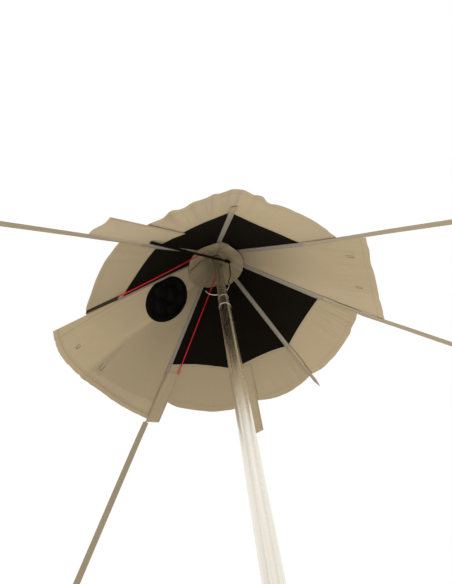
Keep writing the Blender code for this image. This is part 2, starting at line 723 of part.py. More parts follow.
def make_pole():
    """The centre pole: a slim upper tube that slides in a stouter one made in two lengths."""
    upper = UPPER_D / 2
    bore = upper - TUBE_WALL
    lower = LOWER_D / 2
    lower_bore = lower - TUBE_WALL
    bush_bore = upper + SLIP
    sectors = [first + second for first, second in zip(SEAMS, SEAMS[1:] + SEAMS[0])]
    fall = CROWN_FALL / math.cos(max(sector_frame(sector)[1] for sector in sectors))
    shoulder = APEX_Z - fall * upper + STEEP * LAYER_GAP - TIP_GAP
    tube_top = shoulder - TIP_H
    add_turned("pole_upper", [(upper, tube_top), (upper, APEX_Z - UPPER_TUBE_END),
                              (bore, APEX_Z - UPPER_TUBE_END), (bore, tube_top)], "polished")
    point = shoulder + fall * (upper - TIP_POINT_R)
    plug = bore - SLIP
    add_turned("pole_tip", [(0.0, point), (TIP_POINT_R, point), (upper, shoulder), (upper, tube_top + SLIP),
                            (plug, tube_top + SLIP), (plug, tube_top - TIP_PLUG),
                            (0.0, tube_top - TIP_PLUG)], "plastic")
    rim = APEX_Z - BUSH_FOOT
    add_turned("pole_bush", [(BUSH_D / 2, APEX_Z - BUSH_TOP), (BUSH_D / 2, rim + SLIP),
                             (lower_bore - SLIP, rim + SLIP), (lower_bore - SLIP, rim - BUSH_SPIGOT),
                             (bush_bore, rim - BUSH_SPIGOT), (bush_bore, APEX_Z - BUSH_TOP)], "polished")
    add_turned("pole_middle", [(lower, rim), (lower, POLE_JOINT_Z + SLIP),
                               (lower_bore, POLE_JOINT_Z + SLIP), (lower_bore, rim)], "polished")
    sleeve = lower_bore - SLIP
    add_turned("pole_sleeve", [(sleeve, POLE_JOINT_Z + SLEEVE_LENGTH / 2),
                               (sleeve, POLE_JOINT_Z - SLEEVE_LENGTH / 2),
                               (sleeve - TUBE_WALL, POLE_JOINT_Z - SLEEVE_LENGTH / 2),
                               (sleeve - TUBE_WALL, POLE_JOINT_Z + SLEEVE_LENGTH / 2)], "polished")
    add_turned("pole_lower", [(lower, POLE_JOINT_Z), (lower, FOOT_FLOOR + SLIP),
                              (lower_bore, FOOT_FLOOR + SLIP), (lower_bore, POLE_JOINT_Z)], "polished")
    foot = FOOT_D / 2
    add_turned("pole_foot", [(0.0, FOOT_FLOOR), (lower + SLIP, FOOT_FLOOR), (lower + SLIP, FOOT_H),
                             (lower + FOOT_LIP, FOOT_H), (foot, FOOT_SIDE_H), (foot, FOOT_LIP),
                             (foot - FOOT_LIP, 0.0), (0.0, 0.0)], "plastic")


def from_apex(place):
    """A point that is given from the apex."""
    return Vector(place) + Vector((0.0, 0.0, APEX_Z))


def smooth_path(points, count):
    """A smooth curve through points, with count steps between each two."""
    ends = [2 * points[0] - points[1]] + points + [2 * points[-1] - points[-2]]
    path = []
    for i in range(1, len(ends) - 2):
        for step in range(count):
            t = step / count
            a, b, c, d = ends[i - 1:i + 3]
            path.append(0.5 * (2 * b + (c - a) * t + (2 * a - 5 * b + 4 * c - d) * t ** 2
                               + (3 * b - a - 3 * c + d) * t ** 3))
    path.append(points[-1])
    return path


def add_ball(name, radius, place, finish):
    """A knot, as a round lump of cord."""
    bm = bmesh.new()
    bmesh.ops.create_uvsphere(bm, u_segments=KNOT_SIDES, v_segments=KNOT_RINGS, radius=radius)
    bm.transform(Matrix.Translation(place))
    mesh = bpy.data.meshes.new(name)
    bm.to_mesh(mesh)
    bm.free()
    shade_round(add_part(name, mesh, finish))


def make_cords():
    """Red vent cords, and the black strap, knots and cord that carry the lantern clip."""
    for seam, places in (("g", RED_CORD_G), ("f", RED_CORD_F)):
        route = [from_apex(place) for place in places]
        add_tube_curve("vent_cord_" + seam, smooth_path(route, CORD_STEPS), RED_CORD_D, "red_cord")
    upper = from_apex(KNOT_PLACE)
    lower = upper + Vector(KNOT_STEP).normalized() * (2 * KNOT_R + SLIP)
    start = from_apex(HANGING_STRAP_START)
    along = (upper - start).normalized()
    end = upper - along * (KNOT_R + SLIP)
    across = along.cross(Vector((0.0, 0.0, 1.0))).normalized()

    def strap(s, t):
        return start + along * (t * (end - start).length) + across * (s - 0.5) * HANGING_STRAP_W

    add_cloth("hanging_strap", strap, 1, [0.0, 0.5, 1.0], HANGING_STRAP_T, "black_cloth")
    add_ball("hanging_knot_upper", KNOT_R, upper, "black_cloth")
    add_ball("hanging_knot_lower", KNOT_R, lower, "black_cloth")
    first = lower - Vector((0.0, 0.0, KNOT_R + SLIP))
    slant = BLACK_CORD_D / 2 * math.tan(math.radians(abs(CLIP_TILT)))
    last = clip_point(CLIP_FROM) + Vector((0.0, 0.0, CLIP_WIRE + slant + SLIP))
    route = [first] + [from_apex(place) for place in BLACK_CORD] + [last]
    add_tube_curve("hanging_cord", smooth_path(route, CORD_STEPS), BLACK_CORD_D, "black_cloth")
    eyelet = []
    middle = upper + Vector((0.0, 0.0, KNOT_R + SLIP + EYELET_WIRE + EYELET_R))
    level = Vector((along.x, along.y, 0.0)).normalized()
    for angle in steps_between(0.0, 2 * math.pi, EYELET_SIDES)[:-1]:
        eyelet.append(middle + level * math.cos(angle) * EYELET_R
                      + Vector((0.0, 0.0, math.sin(angle) * EYELET_R)))
    add_tube_curve("collar_eyelet", eyelet, 2 * EYELET_WIRE, "polished", cyclic=True)


def clip_point(angle):
    """A point of the lantern clip's tilted hoop."""
    place = polar(CLIP_R, angle, 0.0)
    height = APEX_Z - CLIP_Z - math.tan(math.radians(CLIP_TILT)) * place.y
    return place + Vector((*CLIP_CENTRE, height))


def make_lantern_clip():
    """Open wire clip round the back of the pole, hung from the black cord."""
    path = [clip_point(angle) for angle in steps_between(CLIP_FROM, CLIP_TO, CLIP_STEPS)]
    add_tube_curve("lantern_clip", path, 2 * CLIP_WIRE, "polished")


clear_scene()
TENT = make_collection("tent")
CUTTERS = make_collection("cutters")
make_vents()
make_brims()
make_plain_panel()
make_stove_panel()
make_stove_port()
make_tapes()
make_collar()
make_cap()
make_tabs()
make_straps()
make_pole()
make_cords()
make_lantern_clip()
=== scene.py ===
"""Looks of the crown of a pole tent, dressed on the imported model.

Every sheet of canvas, net and webbing is laid on the same eight planes as its solid, with its
folds, hems and stitches. Metres, +Z up; the seams are lettered a to h, anticlockwise from above.
"""

import logging
import math
from collections.abc import Callable, Iterable, Sequence
from dataclasses import dataclass, field
from enum import Enum
from functools import partial
from typing import TypeVar

import bmesh
import bpy
from mathutils import Matrix, Vector, noise


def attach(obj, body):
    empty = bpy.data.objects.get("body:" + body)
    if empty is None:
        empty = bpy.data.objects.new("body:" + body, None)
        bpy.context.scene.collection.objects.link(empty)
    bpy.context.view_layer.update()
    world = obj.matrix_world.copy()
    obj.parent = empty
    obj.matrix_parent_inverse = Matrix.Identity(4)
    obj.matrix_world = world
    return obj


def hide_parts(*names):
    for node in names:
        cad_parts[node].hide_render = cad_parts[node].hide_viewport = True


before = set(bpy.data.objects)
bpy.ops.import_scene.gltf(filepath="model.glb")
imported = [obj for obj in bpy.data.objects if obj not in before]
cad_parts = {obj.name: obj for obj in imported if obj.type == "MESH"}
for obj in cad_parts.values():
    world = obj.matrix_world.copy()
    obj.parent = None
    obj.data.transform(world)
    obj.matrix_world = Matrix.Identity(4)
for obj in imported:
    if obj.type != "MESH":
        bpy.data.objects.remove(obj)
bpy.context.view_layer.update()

log = logging.getLogger("tent")
Place = Callable[[float, float], Vector]
Colour = tuple[float, float, float]
Source = bpy.types.NodeSocket | float | Sequence[float]
Value = TypeVar("Value", float, Vector)
SEAMS = "abcdefgh"
SECTORS = tuple(first + second for first, second in zip(SEAMS, SEAMS[1:] + SEAMS[0]))
VENTS = ("ab", "cd", "de", "ef", "gh", "ha")
UP = Vector((0.0, 0.0, 1.0))


class Slot(Enum):
    """Material slots of the record."""

    CANVAS = "canvas"
    WEBBING = "webbing"
    MESH = "mesh"
    BLACK_CLOTH = "black_cloth"
    RED_CORD = "red_cord"
    STEEL = "bright_steel"
    PLASTIC = "black_plastic"


class Grows(Enum):
    """The side of a placed sheet on which its thickness lies."""

    INWARDS = -1.0
    OUTWARDS = 1.0


class Face(Enum):
    """The face of a cloth that stitches lie on."""

    INNER = 1.0
    OUTER = -1.0


# Finishes


def tinted(colour: Sequence[float], factor: float = 1.0) -> tuple[float, ...]:
    """Returns a colour made darker or paler, ready for a socket."""
    return (*(min(value * factor, 1.0) for value in colour), 1.0)


class Graph:
    """Adds nodes to one tree and links them."""

    def __init__(self, tree: bpy.types.NodeTree) -> None:
        """Takes over a tree and empties it.

        Args:
            tree: The material's or group's node tree.
        """
        self.tree = tree
        tree.nodes.clear()

    def add(self, kind: str, inputs: dict[str | int, Source] | None = None,
            **settings: object) -> bpy.types.Node:
        """Adds a node.

        Args:
            kind: Blender's name for the node's type.
            inputs: Values or output sockets by input name or number.
            **settings: The node's own properties.

        Returns:
            The new node.
        """
        node = self.tree.nodes.new(kind)
        for name, value in settings.items():
            setattr(node, name, value)
        for key, value in (inputs or {}).items():
            self.feed(node.inputs[key], value)
        return node

    def feed(self, socket: bpy.types.NodeSocket, value: Source) -> None:
        """Links a socket to an output, or sets its value."""
        if isinstance(value, bpy.types.NodeSocket):
            self.tree.links.new(value, socket)
        else:
            socket.default_value = value

    def math(self, operation: str, first: Source, second: Source = 0.0) -> bpy.types.NodeSocket:
        """Returns the output of a Math node."""
        return self.add("ShaderNodeMath", {0: first, 1: second}, operation=operation).outputs[0]

    def mix(self, factor: Source, first: Source, second: Source,
            blend: str = "MIX") -> bpy.types.NodeSocket:
        """Returns a mix of two colours."""
        return self.add("ShaderNodeMix", {0: factor, 6: first, 7: second}, data_type="RGBA",
                        blend_type=blend).outputs[2]

    def spread(self, value: Source, low: float, high: float) -> bpy.types.NodeSocket:
        """Returns a value of 0 to 1 spread over a range."""
        return self.add("ShaderNodeMapRange", {"Value": value, "To Min": low, "To Max": high}).outputs[0]

    def group(self, tree: bpy.types.NodeTree,
              inputs: dict[str, Source]) -> bpy.types.bpy_prop_collection:
        """Places a shared effect and returns its outputs."""
        return self.add("ShaderNodeGroup", inputs, node_tree=tree).outputs


class Paint(Graph):
    """The node tree of one material, with the slow mottling that every finish has."""

    def __init__(self, name: str, mottle: bpy.types.NodeTree, size: float) -> None:
        """Starts a material.

        Args:
            name: The material's name.
            mottle: The group for slow changes of tone.
            size: How wide its patches are, in metres.
        """
        self.material = bpy.data.materials.new(name)
        self.material.use_nodes = True
        super().__init__(self.material.node_tree)
        self.place = self.add("ShaderNodeTexCoord").outputs["Object"]
        self.tone = self.group(mottle, {"Vector": self.place, "Size": size})["Tone"]

    def flat(self) -> bpy.types.NodeSocket:
        """Returns the piece's own flat coordinates, in metres."""
        return self.add("ShaderNodeUVMap", uv_map="flat").outputs[0]

    def bump(self, height: bpy.types.NodeSocket, depth: float,
             strength: float) -> bpy.types.NodeSocket:
        """Returns the normal that a height gives."""
        return self.add("ShaderNodeBump", {"Strength": strength, "Distance": depth,
                                           "Height": height}).outputs[0]

    def finish(self, inputs: dict[str, Source]) -> bpy.types.Material:
        """Returns the material, with a shader of these inputs."""
        shader = self.add("ShaderNodeBsdfPrincipled", inputs)
        self.add("ShaderNodeOutputMaterial", {"Surface": shader.outputs[0]})
        return self.material


def effect_group(name: str, inputs: dict[str, float | None], outputs: Sequence[str]
                 ) -> tuple[bpy.types.NodeTree, Graph, bpy.types.Node, bpy.types.Node]:
    """Starts a shader node group with named sockets.

    Args:
        name: The group's name.
        inputs: Default of each number that it takes, or None for a vector.
        outputs: Names of the values that it puts out.

    Returns:
        The group, its graph, its input node and its output node.
    """
    group = bpy.data.node_groups.new(name, "ShaderNodeTree")
    for label, default in inputs.items():
        kind = "NodeSocketVector" if default is None else "NodeSocketFloat"
        socket = group.interface.new_socket(label, in_out="INPUT", socket_type=kind)
        if default is not None:
            socket.default_value = default
    for label in outputs:
        group.interface.new_socket(label, in_out="OUTPUT", socket_type="NodeSocketFloat")
    graph = Graph(group)
    return group, graph, graph.add("NodeGroupInput"), graph.add("NodeGroupOutput")


def make_plain_weave(slub: float = 0.15, patches: float = 160.0,
                     yarn: tuple[float, float] = (900.0, 14.0)) -> bpy.types.NodeTree:
    """Builds the plain weave that canvas, webbing and black cloth share.

    Args:
        slub: How far the threads wander, in threads.
        patches: How many places to the metre they wander in.
        yarn: How often the yarn's thickness changes to the metre, across it and along it.

    Returns:
        A group that turns flat coordinates in metres into the height of the threads, a mask of
        which thread lies on top, and the uneven thickness of the yarn.
    """
    group, graph, given, made = effect_group(
        "plain_weave", {"Vector": None, "Warp": 0.001, "Weft": 0.001, "Slub": slub},
        ("Height", "Over", "Yarn"))
    vector = given.outputs["Vector"]
    flat = graph.add("ShaderNodeSeparateXYZ", {0: vector})
    uneven = graph.add("ShaderNodeTexNoise", {"Vector": vector, "Scale": patches, "Detail": 2.0})
    shift = graph.math("MULTIPLY", graph.math("SUBTRACT", uneven.outputs["Fac"], 0.5),
                       given.outputs["Slub"])
    crossings = []
    for axis, spacing in (("X", "Warp"), ("Y", "Weft")):
        count = graph.math("DIVIDE", flat.outputs[axis], given.outputs[spacing])
        turn = graph.math("MULTIPLY", graph.math("ADD", count, shift), math.pi)
        crossings.append(graph.math("SINE", turn))
    product = graph.math("MULTIPLY", *crossings)
    rounded = graph.math("POWER", graph.math("ABSOLUTE", product), 0.6)
    stretch = graph.add("ShaderNodeMapping", {"Vector": vector, "Scale": (*yarn, 1.0)})
    thick = graph.add("ShaderNodeTexNoise", {"Vector": stretch.outputs[0], "Scale": 1.0, "Detail": 3.0})
    for name, value in (("Height", rounded), ("Over", graph.spread(product, 0.25, 0.75)),
                        ("Yarn", thick.outputs["Fac"])):
        graph.feed(made.inputs[name], value)
    return group


def make_mottle() -> bpy.types.NodeTree:
    """Builds the slow change of tone that every finish shares.

    Returns:
        A group that turns a place into a value that wanders about one half.
    """
    group, graph, given, made = effect_group("mottle", {"Vector": None, "Size": 0.1}, ("Tone",))
    clouds = graph.add("ShaderNodeTexNoise", {"Vector": given.outputs["Vector"],
                                              "Scale": graph.math("DIVIDE", 1.0, given.outputs["Size"]),
                                              "Detail": 5.0, "Roughness": 0.6})
    graph.feed(made.inputs["Tone"], clouds.outputs["Fac"])
    return group


@dataclass(frozen=True)
class Look:
    """What every finish has: a name, a colour, and the slow mottling of its tone."""

    name: str
    colour: Colour
    mottle_size: float = 0.1
    mottle_tone: float = 0.0

    def build(self, weave: bpy.types.NodeTree, mottle: bpy.types.NodeTree) -> bpy.types.Material:
        """Makes the material.

        Args:
            weave: The plain weave group.
            mottle: The group for slow changes of tone.

        Returns:
            The material.
        """
        paint = Paint(self.name, mottle, self.mottle_size)
        return paint.finish(self.inputs(paint, weave))

    def inputs(self, paint: Paint, weave: bpy.types.NodeTree) -> dict[str, Source]:
        """Adds the finish's own nodes and returns the inputs of its shader."""
        raise NotImplementedError

    def mottled(self, paint: Paint, colour: Source, dark: Source) -> bpy.types.NodeSocket:
        """Returns a colour that is darker in slow patches."""
        return paint.mix(paint.math("MULTIPLY", paint.tone, self.mottle_tone), colour, dark)


@dataclass(frozen=True)
class WovenFinish(Look):
    """Woven cloth: canvas, webbing or black cotton.

    The pattern reads the piece's own flat coordinates, which are in metres. Where darkest is below
    1, the colour falls to that share of itself by the piece's own painted shade, which paints
    light and shade into the cloth's colour.
    """

    mottle_size: float = 0.12
    mottle_tone: float = 0.30
    warp: float = 0.0009
    weft: float = 0.0009
    depth: float = 0.00025
    thread_tone: float = 0.16
    plain_share: float = 0.35
    roughness: float = 0.88
    rough_spread: float = 0.06
    relief: float = 0.5
    sheen: float = 0.08
    sheen_roughness: float = 0.4
    gloss: float = 0.3
    darkest: float = 1.0

    def inputs(self, paint: Paint, weave: bpy.types.NodeTree) -> dict[str, Source]:
        """Adds threads that cross, an uneven yarn and the mottling."""
        threads = paint.group(weave, {"Vector": paint.flat(), "Warp": self.warp, "Weft": self.weft})
        yarn = paint.mix(threads["Over"], tinted(self.colour, 1.0 - 2.0 * self.thread_tone),
                         tinted(self.colour, 1.0 + self.thread_tone))
        plain = paint.math("MULTIPLY", threads["Yarn"], self.plain_share)
        yarn = paint.mix(plain, yarn, tinted(self.colour))
        colour = self.mottled(paint, yarn, tinted(self.colour, 1.0 - self.mottle_tone))
        if self.darkest < 1.0:
            shaded = paint.add("ShaderNodeAttribute", attribute_name="shade").outputs["Fac"]
            colour = paint.mix(shaded, colour, tinted((1.0, 1.0, 1.0), self.darkest), "MULTIPLY")
        rough = paint.spread(threads["Yarn"], self.roughness - self.rough_spread,
                             self.roughness + self.rough_spread)
        return {"Base Color": colour, "Roughness": rough, "Specular IOR Level": self.gloss,
                "Normal": paint.bump(threads["Height"], self.depth, self.relief),
                "Sheen Weight": self.sheen, "Sheen Roughness": self.sheen_roughness}


@dataclass(frozen=True)
class NettingFinish(Look):
    """Fine black netting: round cells between slightly paler threads."""

    name: str = "black_netting"
    colour: Colour = (0.0040, 0.0032, 0.0022)
    mottle_size: float = 0.05
    mottle_tone: float = 0.7
    thread: Colour = (0.012, 0.0095, 0.0062)
    cell: float = 0.0012
    uneven: float = 0.12
    thread_share: float = 0.16
    depth: float = 0.0003
    relief: float = 0.4
    roughness: float = 0.92
    gloss: float = 0.06

    def inputs(self, paint: Paint, weave: bpy.types.NodeTree) -> dict[str, Source]:
        """Adds the cells and the mottling."""
        cells = paint.add("ShaderNodeTexVoronoi", {"Vector": paint.flat(), "Scale": 1.0 / self.cell,
                                                   "Randomness": self.uneven}, feature="DISTANCE_TO_EDGE")
        threads = paint.math("LESS_THAN", cells.outputs["Distance"], self.thread_share)
        net = paint.mix(threads, tinted(self.colour), tinted(self.thread))
        return {"Base Color": self.mottled(paint, net, tinted(self.colour)), "Roughness": self.roughness,
                "Specular IOR Level": self.gloss, "Normal": paint.bump(threads, self.depth, self.relief)}


@dataclass(frozen=True)
class BraidFinish(Look):
    """Braided cord or thread: strands that cross in diamonds round it."""

    mottle_size: float = 0.01
    mottle_tone: float = 0.25
    strands: float = 4.0
    pitch: float = 0.006
    depth: float = 0.0004
    relief: float = 0.6
    shade: float = 0.45
    roughness: float = 0.60
    gloss: float = 0.3

    def inputs(self, paint: Paint, weave: bpy.types.NodeTree) -> dict[str, Source]:
        """Adds strands that cross, with painted shade in the grooves where they meet."""
        parts = paint.add("ShaderNodeSeparateXYZ", {0: paint.flat()})
        around = paint.math("MULTIPLY", parts.outputs["X"], self.strands)
        along = paint.math("DIVIDE", parts.outputs["Y"], self.pitch)
        turns = [paint.math("SINE", paint.math("MULTIPLY", paint.math(way, around, along), 2 * math.pi))
                 for way in ("ADD", "SUBTRACT")]
        height = paint.math("ABSOLUTE", paint.math("MULTIPLY", *turns))
        dark = tinted(self.colour, self.shade)
        braid = paint.mix(height, dark, tinted(self.colour))
        return {"Base Color": self.mottled(paint, braid, dark), "Roughness": self.roughness,
                "Specular IOR Level": self.gloss, "Normal": paint.bump(height, self.depth, self.relief)}


@dataclass(frozen=True)
class SteelFinish(Look):
    """Bright plated steel with fine draw marks along the tube and a few dull patches."""

    name: str = "bright_steel"
    colour: Colour = (0.88, 0.84, 0.74)
    mottle_size: float = 0.06
    tones: tuple[float, float] = (1.12, 0.62)
    contrast: float = 1.6
    roughness: tuple[float, float] = (0.22, 0.34)
    marks: tuple[float, float] = (600.0, 150.0)
    marks_along: float = 3.0

    def inputs(self, paint: Paint, weave: bpy.types.NodeTree) -> dict[str, Source]:
        """Adds the fine and the broad marks."""
        fine, broad = (self.drawn(paint, marks) for marks in self.marks)
        dull = paint.math("MULTIPLY", paint.math("MULTIPLY", fine, paint.tone), 2.0)
        pale, dark = (tinted(self.colour, tone) for tone in self.tones)
        return {"Base Color": paint.mix(paint.math("POWER", broad, self.contrast), pale, dark),
                "Metallic": 1.0, "Roughness": paint.spread(dull, *self.roughness)}

    def drawn(self, paint: Paint, marks: float) -> bpy.types.NodeSocket:
        """Returns lines along the tube, so many to the metre round it."""
        stretch = paint.add("ShaderNodeMapping", {"Vector": paint.place,
                                                  "Scale": (marks, marks, self.marks_along)})
        return paint.add("ShaderNodeTexNoise", {"Vector": stretch.outputs[0], "Scale": 1.0,
                                                "Detail": 2.0}).outputs["Fac"]


@dataclass(frozen=True)
class PlasticFinish(Look):
    """Moulded black plastic with a fine grain and scuffs."""

    name: str = "moulded_plastic"
    colour: Colour = (0.020, 0.020, 0.021)
    mottle_size: float = 0.015
    scuff_tone: float = 2.6
    scuff_contrast: float = 3.0
    roughness: tuple[float, float] = (0.35, 0.65)
    grain: float = 2200.0
    depth: float = 0.0001
    relief: float = 0.15

    def inputs(self, paint: Paint, weave: bpy.types.NodeTree) -> dict[str, Source]:
        """Adds the grain and the scuffs."""
        grain = paint.add("ShaderNodeTexNoise", {"Vector": paint.place, "Scale": self.grain})
        scuff = paint.math("POWER", paint.tone, self.scuff_contrast)
        return {"Base Color": paint.mix(scuff, tinted(self.colour), tinted(self.colour, self.scuff_tone)),
                "Roughness": paint.spread(paint.tone, *self.roughness),
                "Normal": paint.bump(grain.outputs["Fac"], self.depth, self.relief)}


@dataclass(frozen=True)
class Finish:
    """A material, and the slot of the record that it belongs to."""

    material: bpy.types.Material
    slot: Slot


class Wardrobe:
    """Every finish of the tent, built once."""

    def __init__(self) -> None:
        """Builds the shared groups and the materials."""
        self.weave = make_plain_weave()
        self.mottle = make_mottle()
        self.canvas = self.woven("tent_canvas", (0.474, 0.381, 0.240))
        # A paler copy of the canvas whose colour carries painted light and shade, darkened at each vertex by
        # its painted shade.
        self.shaded = self.woven("painted_shade_canvas", (0.550, 0.442, 0.279), darkest=0.55)
        # A dark brown colour that paints the shadow beside seam g onto the tab there.
        self.shadow_strip = self.woven("painted_shadow_strip", (0.034, 0.022, 0.009))
        self.strap = self.woven("strap_webbing", (0.420, 0.345, 0.235), warp=0.0016, depth=0.00050,
                                thread_tone=0.20)
        self.webbing = self.woven("grey_webbing", (0.375, 0.330, 0.262), Slot.WEBBING, warp=0.0012,
                                  weft=0.0008, depth=0.00040)
        self.black = self.woven("black_cotton", (0.0028, 0.0025, 0.0020), Slot.BLACK_CLOTH, warp=0.0007,
                                weft=0.0007, depth=0.00020, roughness=0.62, sheen=0.0, gloss=0.07)
        self.netting = self.make(NettingFinish(), Slot.MESH)
        self.red = self.braided("red_braid", (0.86, 0.018, 0.035), Slot.RED_CORD, shade=0.7)
        self.cord = self.braided("black_braid", (0.0045, 0.0040, 0.0038), Slot.BLACK_CLOTH, gloss=0.1)
        spun = {"strands": 1.0, "pitch": 0.001, "depth": 0.0001, "gloss": 0.1}
        self.thread = self.braided("beige_thread", (0.400, 0.320, 0.205), **spun)
        self.dark_thread = self.braided("brown_thread", (0.130, 0.095, 0.055), **spun)
        self.grey_thread = self.braided("grey_thread", (0.200, 0.180, 0.155), Slot.WEBBING, **spun)
        self.black_thread = self.braided("black_thread", (0.006, 0.006, 0.006), Slot.BLACK_CLOTH, **spun)
        self.steel = self.make(SteelFinish(), Slot.STEEL)
        self.dull_steel = self.make(SteelFinish("dull_steel", (0.65, 0.62, 0.56)), Slot.STEEL)
        self.plastic = self.make(PlasticFinish(), Slot.PLASTIC)

    def make(self, look: Look, slot: Slot) -> Finish:
        """Returns a finish with its material built."""
        return Finish(look.build(self.weave, self.mottle), slot)

    def woven(self, name: str, colour: Colour, slot: Slot = Slot.CANVAS, **cloth: float) -> Finish:
        """Returns the finish of a woven cloth."""
        return self.make(WovenFinish(name, colour, **cloth), slot)

    def braided(self, name: str, colour: Colour, slot: Slot = Slot.CANVAS, **cord: float) -> Finish:
        """Returns the finish of a braided cord or a sewing thread."""
        return self.make(BraidFinish(name, colour, **cord), slot)


# Shapes that the sub-assemblies share


def rise(value: float) -> float:
    """Returns a smooth step from 0 to 1 for a value that passes from 0 to 1."""
    value = min(max(value, 0.0), 1.0)
    return value * value * (3.0 - 2.0 * value)


def ramp(value: float, start: float, over: float) -> float:
    """Returns a smooth step from 0 to 1 for a value that passes over a stretch from its start."""
    return rise((value - start) / over)


def steps(first: float, last: float, count: int) -> list[float]:
    """Returns equal steps from first to last, both included."""
    return [first + (last - first) * i / count for i in range(count + 1)]


def polar(radius: float, azimuth: float, height: float = 0.0) -> Vector:
    """Returns a point from its distance to the pole's axis, its azimuth in degrees and its height."""
    angle = math.radians(azimuth)
    return Vector((radius * math.cos(angle), radius * math.sin(angle), height))


def spline(a: Value, b: Value, c: Value, d: Value, t: float) -> Value:
    """Returns a smooth value between b and c, which have a before and d after them."""
    return 0.5 * (2 * b + (c - a) * t + (2 * a - 5 * b + 4 * c - d) * t ** 2
                  + (3 * b - a - 3 * c + d) * t ** 3)


def curve(values: Sequence[float], share: float) -> float:
    """Returns the value of a smooth curve through evenly spaced values."""
    last = len(values) - 1
    place = min(max(share, 0.0), 1.0) * last
    i = min(int(place), last - 1)
    return spline(*(values[min(max(k, 0), last)] for k in range(i - 1, i + 3)), place - i)


def bell(value: float, width: float) -> float:
    """Returns 1 at nought, falling softly over a width."""
    return math.exp(-(value / width) ** 2)


def arch(share: float) -> float:
    """Returns 0 at both ends of a share of 0 to 1, and 1 in its middle."""
    return math.sin(math.pi * share)


def smooth_path(points: Sequence[Vector], count: int) -> list[Vector]:
    """Runs a smooth curve through points.

    Args:
        points: The route's points.
        count: Steps between each two of them.

    Returns:
        The points of the curve.
    """
    ends = [2 * points[0] - points[1], *points, 2 * points[-1] - points[-2]]
    path = []
    for i in range(1, len(ends) - 2):
        a, b, c, d = ends[i - 1:i + 3]
        for step in range(count):
            path.append(spline(a, b, c, d, step / count))
    path.append(points[-1].copy())
    return path


def path_length(points: Sequence[Vector]) -> float:
    """Returns the length of a route."""
    return sum((second - first).length for first, second in zip(points, points[1:]))


def smooth_line(corners: Sequence[Vector], count: int) -> list[Vector]:
    """Returns a line through corners with straight steps between them."""
    line = [corners[0]]
    for first, second in zip(corners, corners[1:]):
        line += [first.lerp(second, (i + 1) / count) for i in range(count)]
    return line


def hemmed(hem: float, before: float, count: int) -> list[float]:
    """Returns the rows of a cloth whose hem starts at a share of its length, the last a step before."""
    return steps(0.0, hem - before, count) + [hem, (hem + 1.0) / 2, 1.0]


def ribbon(width: float, along: float, s: float, t: float) -> tuple[float, float]:
    """Returns the flat coordinates of a ribbon: its width, and how long one unit of t is."""
    return s * width, t * along


@dataclass(frozen=True)
class Waves:
    """Soft seeded waves: their height, how many pass over each unit in two directions, a seed."""

    height: float
    across: float
    along: float
    seed: float

    def at(self, x: float, y: float, shift: float = 0.0) -> float:
        """Returns the height at a place."""
        return self.height * noise.noise(Vector((x * self.across, y * self.along, self.seed + shift)))


